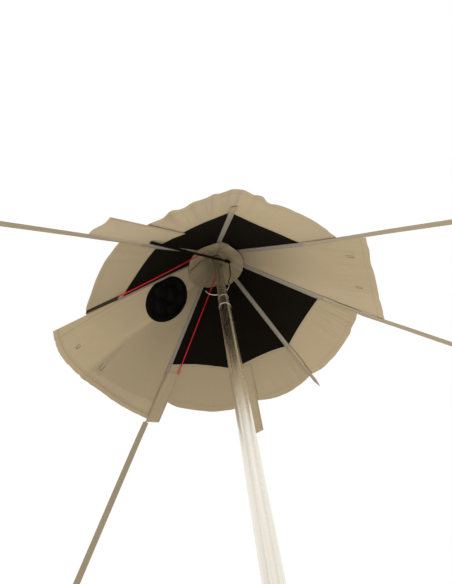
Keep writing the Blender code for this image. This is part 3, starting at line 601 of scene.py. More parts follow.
@dataclass(frozen=True)
class Crown:
    """The pyramid that all cloth of the crown lies on: eight seams that fall from one apex.

    edges says how far each vent's outer edge lies outside its chord, in millimetres across it.
    """

    apex_z: float = 2.500
    ring_r: float = 0.310
    eye_r: float = 0.045
    crown_fall: float = 1.20
    skirt_fall: float = 1.09
    canvas_t: float = 0.0012
    hem_t: float = 0.0024
    tape_t: float = 0.0014
    layer_gap: float = 0.0004
    steep: float = 1.70
    seam_gap: float = 0.0001
    still_r: float = 0.09
    ripples: tuple[Waves, ...] = (Waves(0.0005, 14.0, 14.0, 3.0), Waves(0.000175, 45.0, 45.0, 9.0))
    azimuths: tuple[float, ...] = (297.0, 340.0, 19.7, 63.8, 106.3, 152.0, 214.5, 250.2)
    edges: tuple[tuple[float, ...], ...] = (
        (11.5, 9.5, 8.0, 8.3, 8.4, 7.0, 7.5), (7.5, 4.8, 2.6, 1.0, -0.2, -0.3, -0.3),
        (-1.0, -4.0, -5.8, -6.4, -5.6, -5.0, -4.5), (-4.0, -4.2, -4.0, -3.2, -1.7, 1.9, 5.5),
        (14.0, 12.9, 8.4, 4.0, -1.0, -8.4, -16.0), (-13.0, -7.1, 4.3, 15.7, 22.1, 24.0, 25.5))

    def azimuth(self, seam: str) -> float:
        """Returns a seam's azimuth in degrees."""
        return self.azimuths[SEAMS.index(seam)]

    def sector(self, name: str) -> tuple[float, float]:
        """Returns the azimuth of a sector's middle and half of its angle, in radians."""
        first = self.azimuth(name[0])
        width = (self.azimuth(name[1]) - first) % 360.0
        return math.radians(first + width / 2), math.radians(width / 2)

    def sector_at(self, x: float, y: float) -> str:
        """Returns the sector over a point on the plan."""
        azimuth = math.degrees(math.atan2(y, x)) % 360.0
        for name in SECTORS:
            first, second = (self.azimuth(seam) for seam in name)
            if (azimuth - first) % 360.0 <= (second - first) % 360.0:
                return name
        return SECTORS[0]

    def stack(self, layers: float, gaps: int) -> float:
        """Returns the upright room of layers of cloth on a slope, with the gaps between them."""
        return self.steep * (layers + gaps * self.layer_gap)

    def chord(self, name: str) -> float:
        """Returns the run from the axis to the middle of a vent's straight outer edge."""
        return self.ring_r * math.cos(self.sector(name)[1])

    def vent_edge(self, name: str, share: float) -> float:
        """Returns the run of a vent's uneven outer edge at a place across it, from -1 to 1."""
        return self.chord(name) + curve(self.edges[VENTS.index(name)], (share + 1.0) / 2) / 1000

    def fall(self, name: str, out: float) -> float:
        """Returns how far a sector has fallen at a run from the axis."""
        chord = self.chord(name)
        drop = self.crown_fall * min(out, chord) + self.skirt_fall * max(out - chord, 0.0)
        return drop / math.cos(self.sector(name)[1])

    def on(self, name: str, out: float, across: float, lift: float = 0.0) -> Vector:
        """Returns a point of the outer surface, by its run from the axis and its place across."""
        middle, _ = self.sector(name)
        x = out * math.cos(middle) - across * math.sin(middle)
        y = out * math.sin(middle) + across * math.cos(middle)
        return Vector((x, y, self.apex_z - self.fall(name, out) + lift))

    def flat(self, name: str, x: float, y: float) -> tuple[float, float]:
        """Returns the run from the axis and the place across of a point on the plan."""
        middle, _ = self.sector(name)
        return x * math.cos(middle) + y * math.sin(middle), y * math.cos(middle) - x * math.sin(middle)

    def over(self, x: float, y: float, lift: float = 0.0) -> Vector:
        """Returns the point of the outer surface over a place on the plan."""
        name = self.sector_at(x, y)
        out, _ = self.flat(name, x, y)
        return Vector((x, y, self.apex_z - self.fall(name, out) + lift))

    def beside(self, azimuth: float, reach: float, side: float = 0.0) -> Vector:
        """Returns the point of the outer surface beside a line that runs out from the apex."""
        point = polar(reach, azimuth) + polar(side, azimuth + 90.0)
        return self.over(point.x, point.y)

    def soft(self, point: Vector, lift: float = 0.0) -> Vector:
        """Returns a point raised by a lift and by the cloth's unevenness."""
        return point + UP * (lift + self.ripple(point.x, point.y))

    def normal(self, x: float, y: float) -> Vector:
        """Returns the outward direction of the surface over a place on the plan."""
        name = self.sector_at(x, y)
        middle, half = self.sector(name)
        out, _ = self.flat(name, x, y)
        slope = (self.crown_fall if out < self.chord(name) else self.skirt_fall) / math.cos(half)
        return Vector((slope * math.cos(middle), slope * math.sin(middle), 1.0)).normalized()

    def seam_height(self, radius: float) -> float:
        """Returns the height of a seam at a distance from the pole's axis."""
        inner = min(radius, self.ring_r)
        return self.apex_z - self.crown_fall * inner - self.skirt_fall * (radius - inner)

    def half_width(self, name: str, out: float) -> float:
        """Returns half of a sector's width, less the gap to the planes of its seams."""
        half = self.sector(name)[1]
        return out * math.tan(half) - self.seam_gap / math.cos(half)

    def weave_point(self, name: str, point: Vector) -> tuple[float, float]:
        """Returns where a point lies on a sector's cloth when that is laid flat, in metres."""
        out, across = self.flat(name, point.x, point.y)
        half = self.sector(name)[1]
        return across, out * math.hypot(1.0, self.crown_fall / math.cos(half))

    def ripple(self, x: float, y: float) -> float:
        """Returns the small unevenness that every layer of cloth over a place shares."""
        return rise(math.hypot(x, y) / self.still_r) * sum(waves.at(x, y) for waves in self.ripples)


@dataclass
class Piece:
    """A mesh on its way to being a finished piece."""

    item: bpy.types.Object | None
    size: tuple[float, float] = (0.0, 0.0)
    area: float = 0.0


def new_item(name: str, data: bpy.types.ID) -> bpy.types.Object:
    """Puts a mesh, lamp or camera into the scene as an object at the origin."""
    item = bpy.data.objects.new(name, data)
    bpy.context.scene.collection.objects.link(item)
    return item


def settle(bm: bmesh.types.BMesh, name: str) -> bpy.types.Object:
    """Turns a loose mesh into an object of the scene."""
    mesh = bpy.data.meshes.new(name)
    bm.to_mesh(mesh)
    bm.free()
    return new_item(name, mesh)


def bake(item: bpy.types.Object) -> None:
    """Turns a piece and its modifiers into a plain mesh."""
    graph = bpy.context.evaluated_depsgraph_get()
    mesh = bpy.data.meshes.new_from_object(item.evaluated_get(graph))
    item.modifiers.clear()
    item.data = mesh


def smooth(item: bpy.types.Object, degrees: float = 40.0) -> None:
    """Shades a piece smooth, with an edge kept where its faces turn by more than an angle."""
    item.data.shade_smooth()
    item.data.set_sharp_from_angle(angle=math.radians(degrees))


@dataclass
class Sheet:
    """A cloth: a grid bent by place(s, t), laid flat for its weave, then given its thickness.

    s runs across in equal columns, and t takes the values of rows. Rows from hem_from on are
    hem_t thick. Closed sheets meet themselves at s = 0 and 1.
    """

    crown: Crown
    name: str
    place: Place
    columns: int
    rows: Sequence[float]
    thickness: float
    grows: Grows = Grows.INWARDS
    hem_from: float | None = None
    hem_t: float = 0.0
    closed: bool = False
    flat: Callable[[float, float], tuple[float, float]] | None = None
    weld: float = 0.000005

    def build(self) -> Piece:
        """Makes the cloth.

        Returns:
            The piece, with the size and area that the cloth has when it is laid flat.
        """
        grid = [[self.place(i / self.columns, t) for i in range(self.columns + 1)] for t in self.rows]
        piece = self.measure(grid)
        bm = bmesh.new()
        width = self.columns if self.closed else self.columns + 1
        rings = [[bm.verts.new(point) for point in line[:width]] for line in grid]
        laid = bm.loops.layers.uv.new("flat")
        for j, (low, high) in enumerate(zip(rings, rings[1:])):
            for i in range(self.columns):
                k = (i + 1) % width
                face = bm.faces.new((low[i], low[k], high[k], high[i]))
                self.lay_flat(face, ((i, j), (i + 1, j), (i + 1, j + 1), (i, j + 1)), laid)
        bmesh.ops.remove_doubles(bm, verts=bm.verts, dist=self.weld)
        bm.normal_update()
        if sum(face.normal.z * face.calc_area() for face in bm.faces) < 0.0:
            bmesh.ops.reverse_faces(bm, faces=bm.faces)
        piece.item = settle(bm, self.name)
        self.thicken(piece.item)
        smooth(piece.item)
        return piece

    def lay_flat(self, face: bmesh.types.BMFace, corners: Sequence[tuple[int, int]],
                 laid: bmesh.types.BMLayerItem) -> None:
        """Writes the flat coordinates of a face's corners.

        Args:
            face: The face.
            corners: Column and row of each of its corners.
            laid: The layer that keeps them.
        """
        centre = face.calc_center_median()
        sector = self.crown.sector_at(centre.x, centre.y)
        for loop, (column, row) in zip(face.loops, corners):
            if self.flat:
                loop[laid].uv = self.flat(column / self.columns, self.rows[row])
            else:
                loop[laid].uv = self.crown.weave_point(sector, loop.vert.co)

    def measure(self, grid: list[list[Vector]]) -> Piece:
        """Measures the cloth before it is thick.

        Args:
            grid: The points of each row.

        Returns:
            A piece with its flat width, length and area.
        """
        width = max(path_length(line) for line in grid)
        length = max(path_length(column) for column in zip(*grid))
        area = 0.0
        for low, high in zip(grid, grid[1:]):
            for i in range(self.columns):
                a, b, c, d = low[i], low[i + 1], high[i + 1], high[i]
                area += (b - a).cross(c - a).length / 2 + (c - a).cross(d - a).length / 2
        return Piece(None, (round(width, 4), round(length, 4)), round(min(area, width * length), 5))

    def thicken(self, item: bpy.types.Object) -> None:
        """Gives the cloth its thickness, and its hem a second layer."""
        solid = item.modifiers.new("Thickness", "SOLIDIFY")
        solid.thickness = self.hem_t or self.thickness
        solid.offset = self.grows.value
        solid.use_even_offset = True
        if self.hem_from is not None:
            group = item.vertex_groups.new(name="hem")
            first = self.rows.index(self.hem_from) * (self.columns + 1)
            group.add(list(range(first, len(item.data.vertices))), 1.0, "REPLACE")
            solid.vertex_group = "hem"
            solid.thickness_vertex_group = self.thickness / self.hem_t
        bake(item)


Station = tuple[Vector, Vector, Vector, float, float]


@dataclass
class Tube:
    """A round cord or wire along a route, with flat coordinates for its braid."""

    name: str
    path: Sequence[Vector]
    radius: float
    sides: int = 12
    cyclic: bool = False
    round_end: tuple[tuple[float, float], ...] = ((0.35, 1.0), (0.08, 0.85), (0.0, 0.6))
    sharp: float = 50.0

    def build(self) -> bpy.types.Object:
        """Makes the tube, with round ends if it is open.

        Returns:
            The new object.
        """
        stations = self.stations()
        bm = bmesh.new()
        laid = bm.loops.layers.uv.new("flat")
        turns = [2 * math.pi * i / self.sides for i in range(self.sides)]
        rings = [[bm.verts.new(centre + (first * math.cos(turn) + second * math.sin(turn)) * radius)
                  for turn in turns] for centre, first, second, radius, _ in stations]
        pairs = [(i, i + 1) for i in range(len(rings) - 1)]
        if self.cyclic:
            pairs.append((len(rings) - 1, 0))
        for a, b in pairs:
            start, end = stations[a][4], stations[b][4]
            if b == 0:
                end = start + (stations[0][0] - stations[-1][0]).length
            for i in range(self.sides):
                k = (i + 1) % self.sides
                face = bm.faces.new((rings[a][i], rings[a][k], rings[b][k], rings[b][i]))
                corners = ((i, start), (i + 1, start), (i + 1, end), (i, end))
                for loop, (turn, along) in zip(face.loops, corners):
                    loop[laid].uv = (turn / self.sides, along)
        if not self.cyclic:
            bm.faces.new(list(reversed(rings[0])))
            bm.faces.new(rings[-1])
        bmesh.ops.recalc_face_normals(bm, faces=bm.faces)
        item = settle(bm, self.name)
        smooth(item, self.sharp)
        return item

    def stations(self) -> list[Station]:
        """Carries a pair of cross directions along the route.

        Returns:
            The centre, cross directions, radius and distance along of every ring.
        """
        points = list(self.path)
        count = len(points)
        tangents = []
        for i in range(count):
            before = points[i - 1] if i or self.cyclic else points[0]
            after = points[(i + 1) % count] if i + 1 < count or self.cyclic else points[-1]
            tangents.append((after - before).normalized())
        first = tangents[0].orthogonal().normalized()
        made = []
        along = 0.0
        for i, (point, tangent) in enumerate(zip(points, tangents)):
            first = (first - tangent * first.dot(tangent)).normalized()
            if i:
                along += (point - points[i - 1]).length
            made.append((point, first, tangent.cross(first), self.radius, along))
        if self.cyclic:
            return made
        head = self.rounded(tangents[0], made[0])
        return head[::-1] + made[1:-1] + self.rounded(-tangents[-1], made[-1])

    def rounded(self, inwards: Vector, end: Station) -> list[Station]:
        """Returns the narrowing rings of a round end, from the inside out."""
        return [(end[0] + inwards * self.radius * inset, *end[1:3], self.radius * wide, end[4])
                for inset, wide in self.round_end]


@dataclass
class Turned:
    """A turned piece: a profile of radius and height, swept about the pole's axis."""

    name: str
    profile: Sequence[tuple[float, float]]
    sides: int = 96
    long_run: float = 0.010
    support: float = 0.0006
    sharp: float = 32.0

    def supported(self) -> list[tuple[float, float]]:
        """Returns the profile with a ring near both ends of long runs, so that they shade straight."""
        made = []
        for first, second in zip(self.profile, (*self.profile[1:], self.profile[0])):
            made.append(first)
            start, run = Vector(first), Vector(second) - Vector(first)
            if run.length > self.long_run and first[0] > 0.0 and second[0] > 0.0:
                step = run.normalized() * self.support
                made += [tuple(start + step), tuple(start + run - step)]
        return made

    def build(self) -> bpy.types.Object:
        """Makes the piece, closed at the axis or round a bore.

        Returns:
            The new object.
        """
        bm = bmesh.new()
        rings = [[bm.verts.new(polar(radius, 360.0 * i / self.sides, height))
                  for i in range(self.sides if radius else 1)] for radius, height in self.supported()]
        pairs = list(zip(rings, rings[1:]))
        if self.profile[0][0]:
            pairs.append((rings[-1], rings[0]))
        for first, second in pairs:
            for i in range(self.sides):
                k = (i + 1) % self.sides
                corners = [first[i % len(first)], first[k % len(first)],
                           second[k % len(second)], second[i % len(second)]]
                bm.faces.new(list(dict.fromkeys(corners)))
        bmesh.ops.recalc_face_normals(bm, faces=bm.faces)
        item = settle(bm, self.name)
        smooth(item, self.sharp)
        return item


# Stitches


@dataclass(frozen=True)
class Stitch:
    """One kind of sewing: how far apart, how long and how thick its stitches are."""

    pitch: float
    length: float
    thread: float


LOCKSTITCH = Stitch(0.0046, 0.0036, 0.0009)
ZIGZAG = Stitch(0.0030, 0.0030, 0.0008)
HEAVY_TACK = Stitch(0.0015, 0.0022, 0.0015)


class StitchTree:
    """The Geometry Nodes tree that lays stitches along drawn lines."""

    def __init__(self, shortest: float = 0.86, longest: float = 1.12, seed: int = 7) -> None:
        """Builds the tree with its named inputs.

        Args:
            shortest: Share of its length that the shortest stitch has.
            longest: Share of its length that the longest stitch has.
            seed: Seed of their uneven lengths.
        """
        tree = bpy.data.node_groups.new("stitch_lines", "GeometryNodeTree")
        self.tree = tree
        for label, kind, default in (("Lines", "Geometry", None), ("Pitch", "Float", LOCKSTITCH.pitch),
                                     ("Length", "Float", LOCKSTITCH.length),
                                     ("Thread", "Float", LOCKSTITCH.thread), ("Seed", "Int", seed),
                                     ("Material", "Material", None)):
            socket = tree.interface.new_socket(label, in_out="INPUT", socket_type="NodeSocket" + kind)
            if default is not None:
                socket.default_value = default
        tree.interface.new_socket("Stitches", in_out="OUTPUT", socket_type="NodeSocketGeometry")
        graph = Graph(tree)
        given = graph.add("NodeGroupInput").outputs
        curves = graph.add("GeometryNodeMeshToCurve", {"Mesh": given["Lines"]})
        spaced = graph.add("GeometryNodeResampleCurve", {"Curve": curves.outputs["Curve"],
                                                         "Length": given["Pitch"]}, mode="LENGTH")
        along = graph.add("GeometryNodeInputTangent")
        turned = graph.add("FunctionNodeAlignRotationToVector", {"Vector": along.outputs[0]}, axis="X")
        uneven = graph.add("FunctionNodeRandomValue", {2: shortest, 3: longest, "Seed": given["Seed"]},
                           data_type="FLOAT")
        half_length = graph.math("MULTIPLY", given["Length"], 0.5)
        half_thread = graph.math("MULTIPLY", given["Thread"], 0.5)
        size = graph.add("ShaderNodeCombineXYZ", {
            "X": graph.math("MULTIPLY", half_length, uneven.outputs[1]), "Y": half_thread, "Z": half_thread})
        bead = graph.add("GeometryNodeMeshIcoSphere", {"Radius": 1.0, "Subdivisions": 1})
        laid = graph.add("GeometryNodeInstanceOnPoints", {
            "Points": spaced.outputs["Curve"], "Instance": bead.outputs["Mesh"],
            "Rotation": turned.outputs[0], "Scale": size.outputs[0]})
        real = graph.add("GeometryNodeRealizeInstances", {"Geometry": laid.outputs[0]})
        soft = graph.add("GeometryNodeSetShadeSmooth", {"Geometry": real.outputs[0]})
        dressed = graph.add("GeometryNodeSetMaterial", {"Geometry": soft.outputs[0],
                                                        "Material": given["Material"]})
        graph.add("NodeGroupOutput", {"Stitches": dressed.outputs[0]})

    def sockets(self) -> dict[str, str]:
        """Returns the identifier of each named input."""
        return {item.name: item.identifier for item in self.tree.interface.items_tree
                if item.item_type == "SOCKET" and item.in_out == "INPUT"}


class Sewing:
    """Collects the lines that are sewn, and turns each group of them into stitches."""

    def __init__(self, crown: Crown, reach: float = 0.03) -> None:
        """Prepares the stitch tree.

        Args:
            crown: The planes that the cloth lies on.
            reach: How far from the cloth a line may be drawn.
        """
        self.crown = crown
        self.reach = reach
        self.tree = StitchTree()

    def drop(self, cloth: bpy.types.Object, line: Sequence[Vector], face: Face) -> list[Vector]:
        """Lays a line on the face of a cloth.

        Args:
            cloth: The piece that is sewn.
            line: Places near it.
            face: The face that the stitches show on.

        Returns:
            The places on the cloth.
        """
        laid = []
        for point in line:
            inwards = -self.crown.normal(point.x, point.y) * face.value
            hit, found, _, _ = cloth.ray_cast(point + inwards * self.reach, -inwards,
                                              distance=2 * self.reach)
            if hit:
                laid.append(found)
        return laid

    def seam(self, name: str, cloth: bpy.types.Object, lines: Iterable[Sequence[Vector]],
             faces: Iterable[Face], stitch: Stitch, thread: Finish) -> None:
        """Sews lines on one cloth.

        Args:
            name: The stitches' name.
            cloth: The piece that is sewn.
            lines: Places near it.
            faces: The faces that the stitches show on.
            stitch: The kind of sewing.
            thread: The thread's finish.
        """
        laid = [self.drop(cloth, line, face) for line in lines for face in faces]
        self.sew(name, laid, stitch, thread)

    def bars(self, name: str, cloth: bpy.types.Object, sector: str, tacks: Sequence["Tack"],
             thread: Finish) -> None:
        """Sews the bars of a panel's tacks, on both faces.

        Args:
            name: The stitches' name.
            cloth: The panel.
            sector: Its sector.
            tacks: Its tacks.
            thread: The thread's finish.
        """
        lines = [smooth_line([self.crown.on(sector, out, across) for out, across in tack.outline()], 6)
                 for tack in tacks]
        self.seam(name, cloth, lines, Face, HEAVY_TACK, thread)

    def sew(self, name: str, lines: Sequence[Sequence[Vector]], stitch: Stitch, thread: Finish) -> None:
        """Makes one piece of all the stitches along some lines.

        Args:
            name: The piece's name.
            lines: The lines, each as its points.
            stitch: The kind of sewing.
            thread: The thread's finish.
        """
        verts = [point for line in lines for point in line]
        edges = []
        first = 0
        for line in lines:
            edges += [(first + i, first + i + 1) for i in range(len(line) - 1)]
            first += len(line)
        mesh = bpy.data.meshes.new(name + "_lines")
        mesh.from_pydata(verts, edges, [])
        item = new_item(name, mesh)
        change = item.modifiers.new("Stitches", "NODES")
        change.node_group = self.tree.tree
        keys = self.tree.sockets()
        for label, value in (("Pitch", stitch.pitch), ("Length", stitch.length),
                             ("Thread", stitch.thread), ("Material", thread.material)):
            change[keys[label]] = value
        bake(item)
        dress(item, thread)


def dress(item: bpy.types.Object, finish: Finish, *nodes: str, body: str = "canopy") -> None:
    """Gives a piece its finish's material and its body, and hides the solids that it stands for.

    Args:
        item: The piece.
        finish: Its finish, whose material it gets.
        *nodes: The CAD nodes that it replaces.
        body: The body that it rides on.
    """
    item.data.materials.clear()
    item.data.materials.append(finish.material)
    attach(item, body)
    if nodes:
        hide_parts(*nodes)
    log.info("%s: %d faces on %s", item.name, len(item.data.polygons), body)


def shade(item: bpy.types.Object, tone: Callable[[Vector], float]) -> None:
    """Stores the painted shade of the cloth at each of its vertices, from 0 to 1, which paints light and
    shade into its colour.
    """
    store = item.data.attributes.new("shade", "FLOAT", "POINT")
    store.data.foreach_set("value", [min(max(tone(vert.co), 0.0), 1.0) for vert in item.data.vertices])


def declare(piece: Piece) -> None:
    """Logs a cloth's name and the size and area that it was cut to.

    Args:
        piece: The finished cloth.
    """
    log.info("%s is cut to %.4f by %.4f m, %.5f square metres", piece.item.name, *piece.size, piece.area)


@dataclass
class Assembly:
    """A sub-assembly: the planes that it lies on, the finishes that it wears and its sewing."""

    crown: Crown
    clothes: Wardrobe
    sewing: Sewing

    def build(self) -> None:
        """Makes the sub-assembly's meshes and dresses them."""
        raise NotImplementedError


# The crown's cloth


@dataclass(frozen=True)
class Brim:
    """One brim sheet, by even steps across it: its hem's reach and rise in millimetres.

    gather is how deep its fine gathers are at its first seam, in its middle and at its second seam.
    """

    hem: tuple[float, ...]
    rises: tuple[float, ...]
    gather: tuple[float, float, float]


@dataclass
class Brims(Assembly):
    """Six sheets of canvas outside the vents, whose folds deepen towards a doubled hem."""

    hem_width: float = 0.012
    hem_step: float = 0.006 / 0.09
    hem_t: float = 0.0018
    columns: int = 144
    rows: int = 26
    overlap: float = 0.013
    overlap_ends: int = 12
    folds_start: float = 1.6
    bend: float = 1.6
    folds: tuple[Waves, ...] = (Waves(1.0, 13.0, 0.8, 0.0), Waves(0.3, 40.0, 1.6, 5.0))
    seeds_apart: float = 3.7
    cuts: dict[str, Brim] = field(default_factory=lambda: {
        "ab": Brim((424, 419, 415, 414.5, 412, 402, 399.5, 400.5, 401, 401, 401, 399.5, 400, 400.4,
                    400.2, 400.4, 400.3, 400.4, 400, 400, 401, 400, 401, 403, 404),
                   (0, 2, -3, 2, 3, -5, -5, -1, 1, 0.5, 0, 0.5, 0, -0.5, 0, 0.5, 0, -0.5, 0, 0.5, 0, 0,
                    0.5, 0, 0), (5.0, 0.9, 0.9)),
        "cd": Brim((406, 405.7, 401.6, 396.4, 395.6, 393.6, 391.2, 390.1, 389.4, 389.3, 389.3, 389.1,
                    391.1, 392.3, 393.3, 395, 395),
                   (0, 1.5, -1.5, 1.2, -0.5, 0, 0.4, 0, -0.4, 0.4, -1.2, 1.2, 0), (9.0, 0.9, 1.4)),
        "de": Brim((395, 394.4, 391.3, 390, 388.4, 386.8, 385.6, 384.2, 382.5, 382, 382.5, 383, 383),
                   (0, 1.5, -1.2, 0.8, 0, 0.4, 0, 0, 0, 0, 0, 0, 0), (1.6, 0.7, 0.3)),
        "ef": Brim((399, 397, 393.3, 390.7, 389, 386.4, 385.4, 386, 388, 390.5, 391, 390, 389),
                   (0, 0, 0, 0, 0.4, 0, -0.4, 0, 0.4, 0, 0, 0, 0), (0.3, 0.6, 0.4)),
        "gh": Brim((412, 411, 407.9, 404.8, 403.2, 403.1, 403.3, 403.7, 404.4, 405, 404.2, 404.2, 403),
                   (0, 0, 0.5, 0, -0.5, 0.6, -0.8, 1, -1.2, 1.5, -1.5, 1, 0), (0.6, 1.0, 2.2)),
        "ha": Brim((393, 394, 395, 396, 397, 397, 398, 398, 398, 399.4, 400.3, 405.3, 407.1, 406.4,
                    407.1, 412.4, 414.8, 416.4, 418.1, 422.2, 423.3, 426, 428.4, 428.2, 424.4),
                   (0, 0, 1, -1, 1.5, -1, 3, 4, -1, -4, -1, 4, 4, -4, -4, 2, 4, -2, 0, 4, -2, 1, 4, 0, 0),
                   (2.0, 6.0, 6.0)),
    })

    def at(self, name: str, s: float, t: float) -> Vector:
        """Returns a point of a brim's outer face."""
        crown, cut = self.crown, self.cuts[name]
        half = crown.sector(name)[1]
        turn = (2 * s - 1) * (half - crown.seam_gap / crown.ring_r)
        inner = crown.vent_edge(name, math.tan(turn) / math.tan(half)) / math.cos(turn)
        radius = inner + (curve(cut.hem, s) / 1000 - inner) * t
        if name == "gh":
            turn -= self.overlap * rise(t * 2.0) * (1.0 - s) ** self.overlap_ends / radius
        shift = VENTS.index(name) * self.seeds_apart
        crimp = curve(cut.gather, s) * rise(t * self.folds_start) * arch(s) ** 0.5
        crimp *= sum(waves.at(s, t, shift) for waves in self.folds)
        lift = (t ** self.bend * curve(cut.rises, s) + crimp) / 1000
        return crown.soft(crown.on(name, radius * math.cos(turn), radius * math.sin(turn), lift))

    def build(self) -> None:
        """Makes the six sheets and sews their hems and inner edges."""
        lines = []
        for name, cut in self.cuts.items():
            hem = 1.0 - self.hem_width / (cut.hem[0] / 1000 - self.crown.ring_r)
            piece = Sheet(self.crown, "cloth_brim_" + name, partial(self.at, name), self.columns,
                          hemmed(hem, self.hem_step, self.rows), self.crown.canvas_t,
                          hem_from=hem, hem_t=self.hem_t).build()
            dress(piece.item, self.clothes.canvas, "brim_" + name)
            declare(piece)
            run = [self.at(name, s, hem + 0.02) for s in steps(0.005, 0.995, 160)]
            edge = [self.at(name, s, 0.035) for s in steps(0.01, 0.99, 120)]
            lines += [self.sewing.drop(piece.item, line, face) for face in Face for line in (run, edge)]
        self.sewing.sew("stitches_brims", lines, LOCKSTITCH, self.clothes.thread)


@dataclass
class Vents(Assembly):
    """Six windows of black netting between the eye and the brims."""

    thickness: float = 0.0008
    columns: int = 32
    rows: int = 24

    def at(self, name: str, s: float, t: float) -> Vector:
        """Returns a point of a window's outer face."""
        crown, side = self.crown, 2 * s - 1
        edge = crown.vent_edge(name, side) - crown.layer_gap / 2
        out = crown.eye_r + (edge - crown.eye_r) * t
        return crown.soft(crown.on(name, out, side * crown.half_width(name, out)))

    def build(self) -> None:
        """Makes the windows."""
        for name in VENTS:
            piece = Sheet(self.crown, "net_vent_" + name, partial(self.at, name), self.columns,
                          steps(0.0, 1.0, self.rows), self.thickness).build()
            dress(piece.item, self.clothes.netting, "vent_mesh_" + name)
            declare(piece)


@dataclass(frozen=True)
class Tack:
    """A sewn bar on a panel, with the pull lines that run from it.

    line is how wide a pull line is at the bar and how fast it widens, reach is how far it runs
    towards the apex and towards the hem, and furrow is the depth of the hollow beside it.
    """

    out: float
    across: float
    length: float
    width: float
    pull: float
    line: tuple[float, float] = (0.0075, 0.06)
    reach: tuple[float, float] = (0.10, 0.03)
    furrow: float = 1.2

    def pucker(self, out: float, across: float) -> float:
        """Returns how far the cloth rises by the tack's pull."""
        along = out - self.out
        aside = across - self.across
        wide = self.line[0] + self.line[1] * abs(along)
        pull = bell(aside - 0.4 * self.width, wide) - self.furrow * bell(aside + self.width, wide)
        return self.pull * bell(along, self.reach[along >= 0.0]) * pull

    def outline(self) -> list[tuple[float, float]]:
        """Returns the corners of the sewn bar, open on the side of the apex."""
        half = self.width / 2
        return [(self.out, self.across - half), (self.out + self.length, self.across - half),
                (self.out + self.length, self.across + half), (self.out, self.across + half)]


@dataclass
class PlainPanel(Assembly):
    """The long plain panel at +X, with two tacked bars near its hem."""

    hem: float = 0.435
    hem_half: float = 0.143
    hem_width: float = 0.012
    hem_step: float = 0.008
    hem_t: float = 0.0018
    spare: tuple[float, float] = (0.0020, 0.0056)
    scallop: tuple[float, ...] = (-0.3, -0.5, 0.4, -1.8, -2.8, -0.8, -0.2, 0.3, 0.0, 0.2, -1.1, 1.2,
                                  1.9, 1.7, 2.5)
    hem_waves: Waves = Waves(0.0016, 9.0, 0.0, 7.0)
    broad: Waves = Waves(0.0034, 3.0, 22.0, 1.5)
    broad_from: tuple[float, float] = (0.10, 0.33)
    fine: Waves = Waves(0.0018, 6.0, 70.0, 4.5)
    fine_from: tuple[float, float] = (0.33, 0.08)
    held: float = 9.0
    sag: float = 0.006
    columns: int = 150
    rows: int = 100
    tacks: tuple[Tack, ...] = (Tack(0.3900, -0.0793, 0.015, 0.009, 0.0034),
                               Tack(0.3930, 0.0329, 0.014, 0.009, 0.0038))
    dashes: tuple[tuple[float, float], ...] = ((0.392, -0.045), (0.388, 0.0762), (0.380, 0.0000),
                                               (0.37, 0.055))
    dash: tuple[float, float, float] = (0.0028, 0.035, 0.005)

    def at(self, s: float, t: float) -> Vector:
        """Returns a point of the panel's outer face."""
        crown = self.crown
        side = 2 * s - 1
        chord = crown.chord("bc")
        hem = self.hem + self.hem_waves.at(s, 0.0) * arch(s) + curve(self.scallop, s) / 1000
        out = crown.eye_r + (hem - crown.eye_r) * t
        past = max(out - chord, 0.0) / (hem - chord)
        wide = crown.half_width("bc", min(out, chord))
        wide += (self.hem_half + self.spare[side > 0.0] - wide) * past
        across = side * wide
        lift = sum(tack.pucker(out, across) for tack in self.tacks) - self.sag * past * past * arch(s)
        depth, along, aside = self.dash
        for run, line in self.dashes:
            lift -= depth * bell(out - run, along) * bell(across - line, aside)
        lift += ramp(out, *self.broad_from) * arch(s) * self.broad.at(out, across)
        lift += ramp(out, *self.fine_from) * self.fine.at(out, across)
        return crown.soft(crown.on("bc", out, across, lift * rise(min(s, 1.0 - s) * self.held)))

    def build(self) -> None:
        """Makes the panel and its sewing."""
        hem = 1.0 - self.hem_width / (self.hem - self.crown.eye_r)
        piece = Sheet(self.crown, "cloth_panel_plain", self.at, self.columns,
                      hemmed(hem, self.hem_step, self.rows), self.crown.canvas_t,
                      hem_from=hem, hem_t=self.hem_t).build()
        dress(piece.item, self.clothes.canvas, "panel_plain")
        declare(piece)
        run = [self.at(s, hem + 0.004) for s in steps(0.005, 0.995, 100)]
        self.sewing.seam("stitches_plain_hem", piece.item, [run], Face, LOCKSTITCH, self.clothes.thread)
        self.sewing.bars("stitches_plain_tacks", piece.item, "bc", self.tacks, self.clothes.dark_thread)


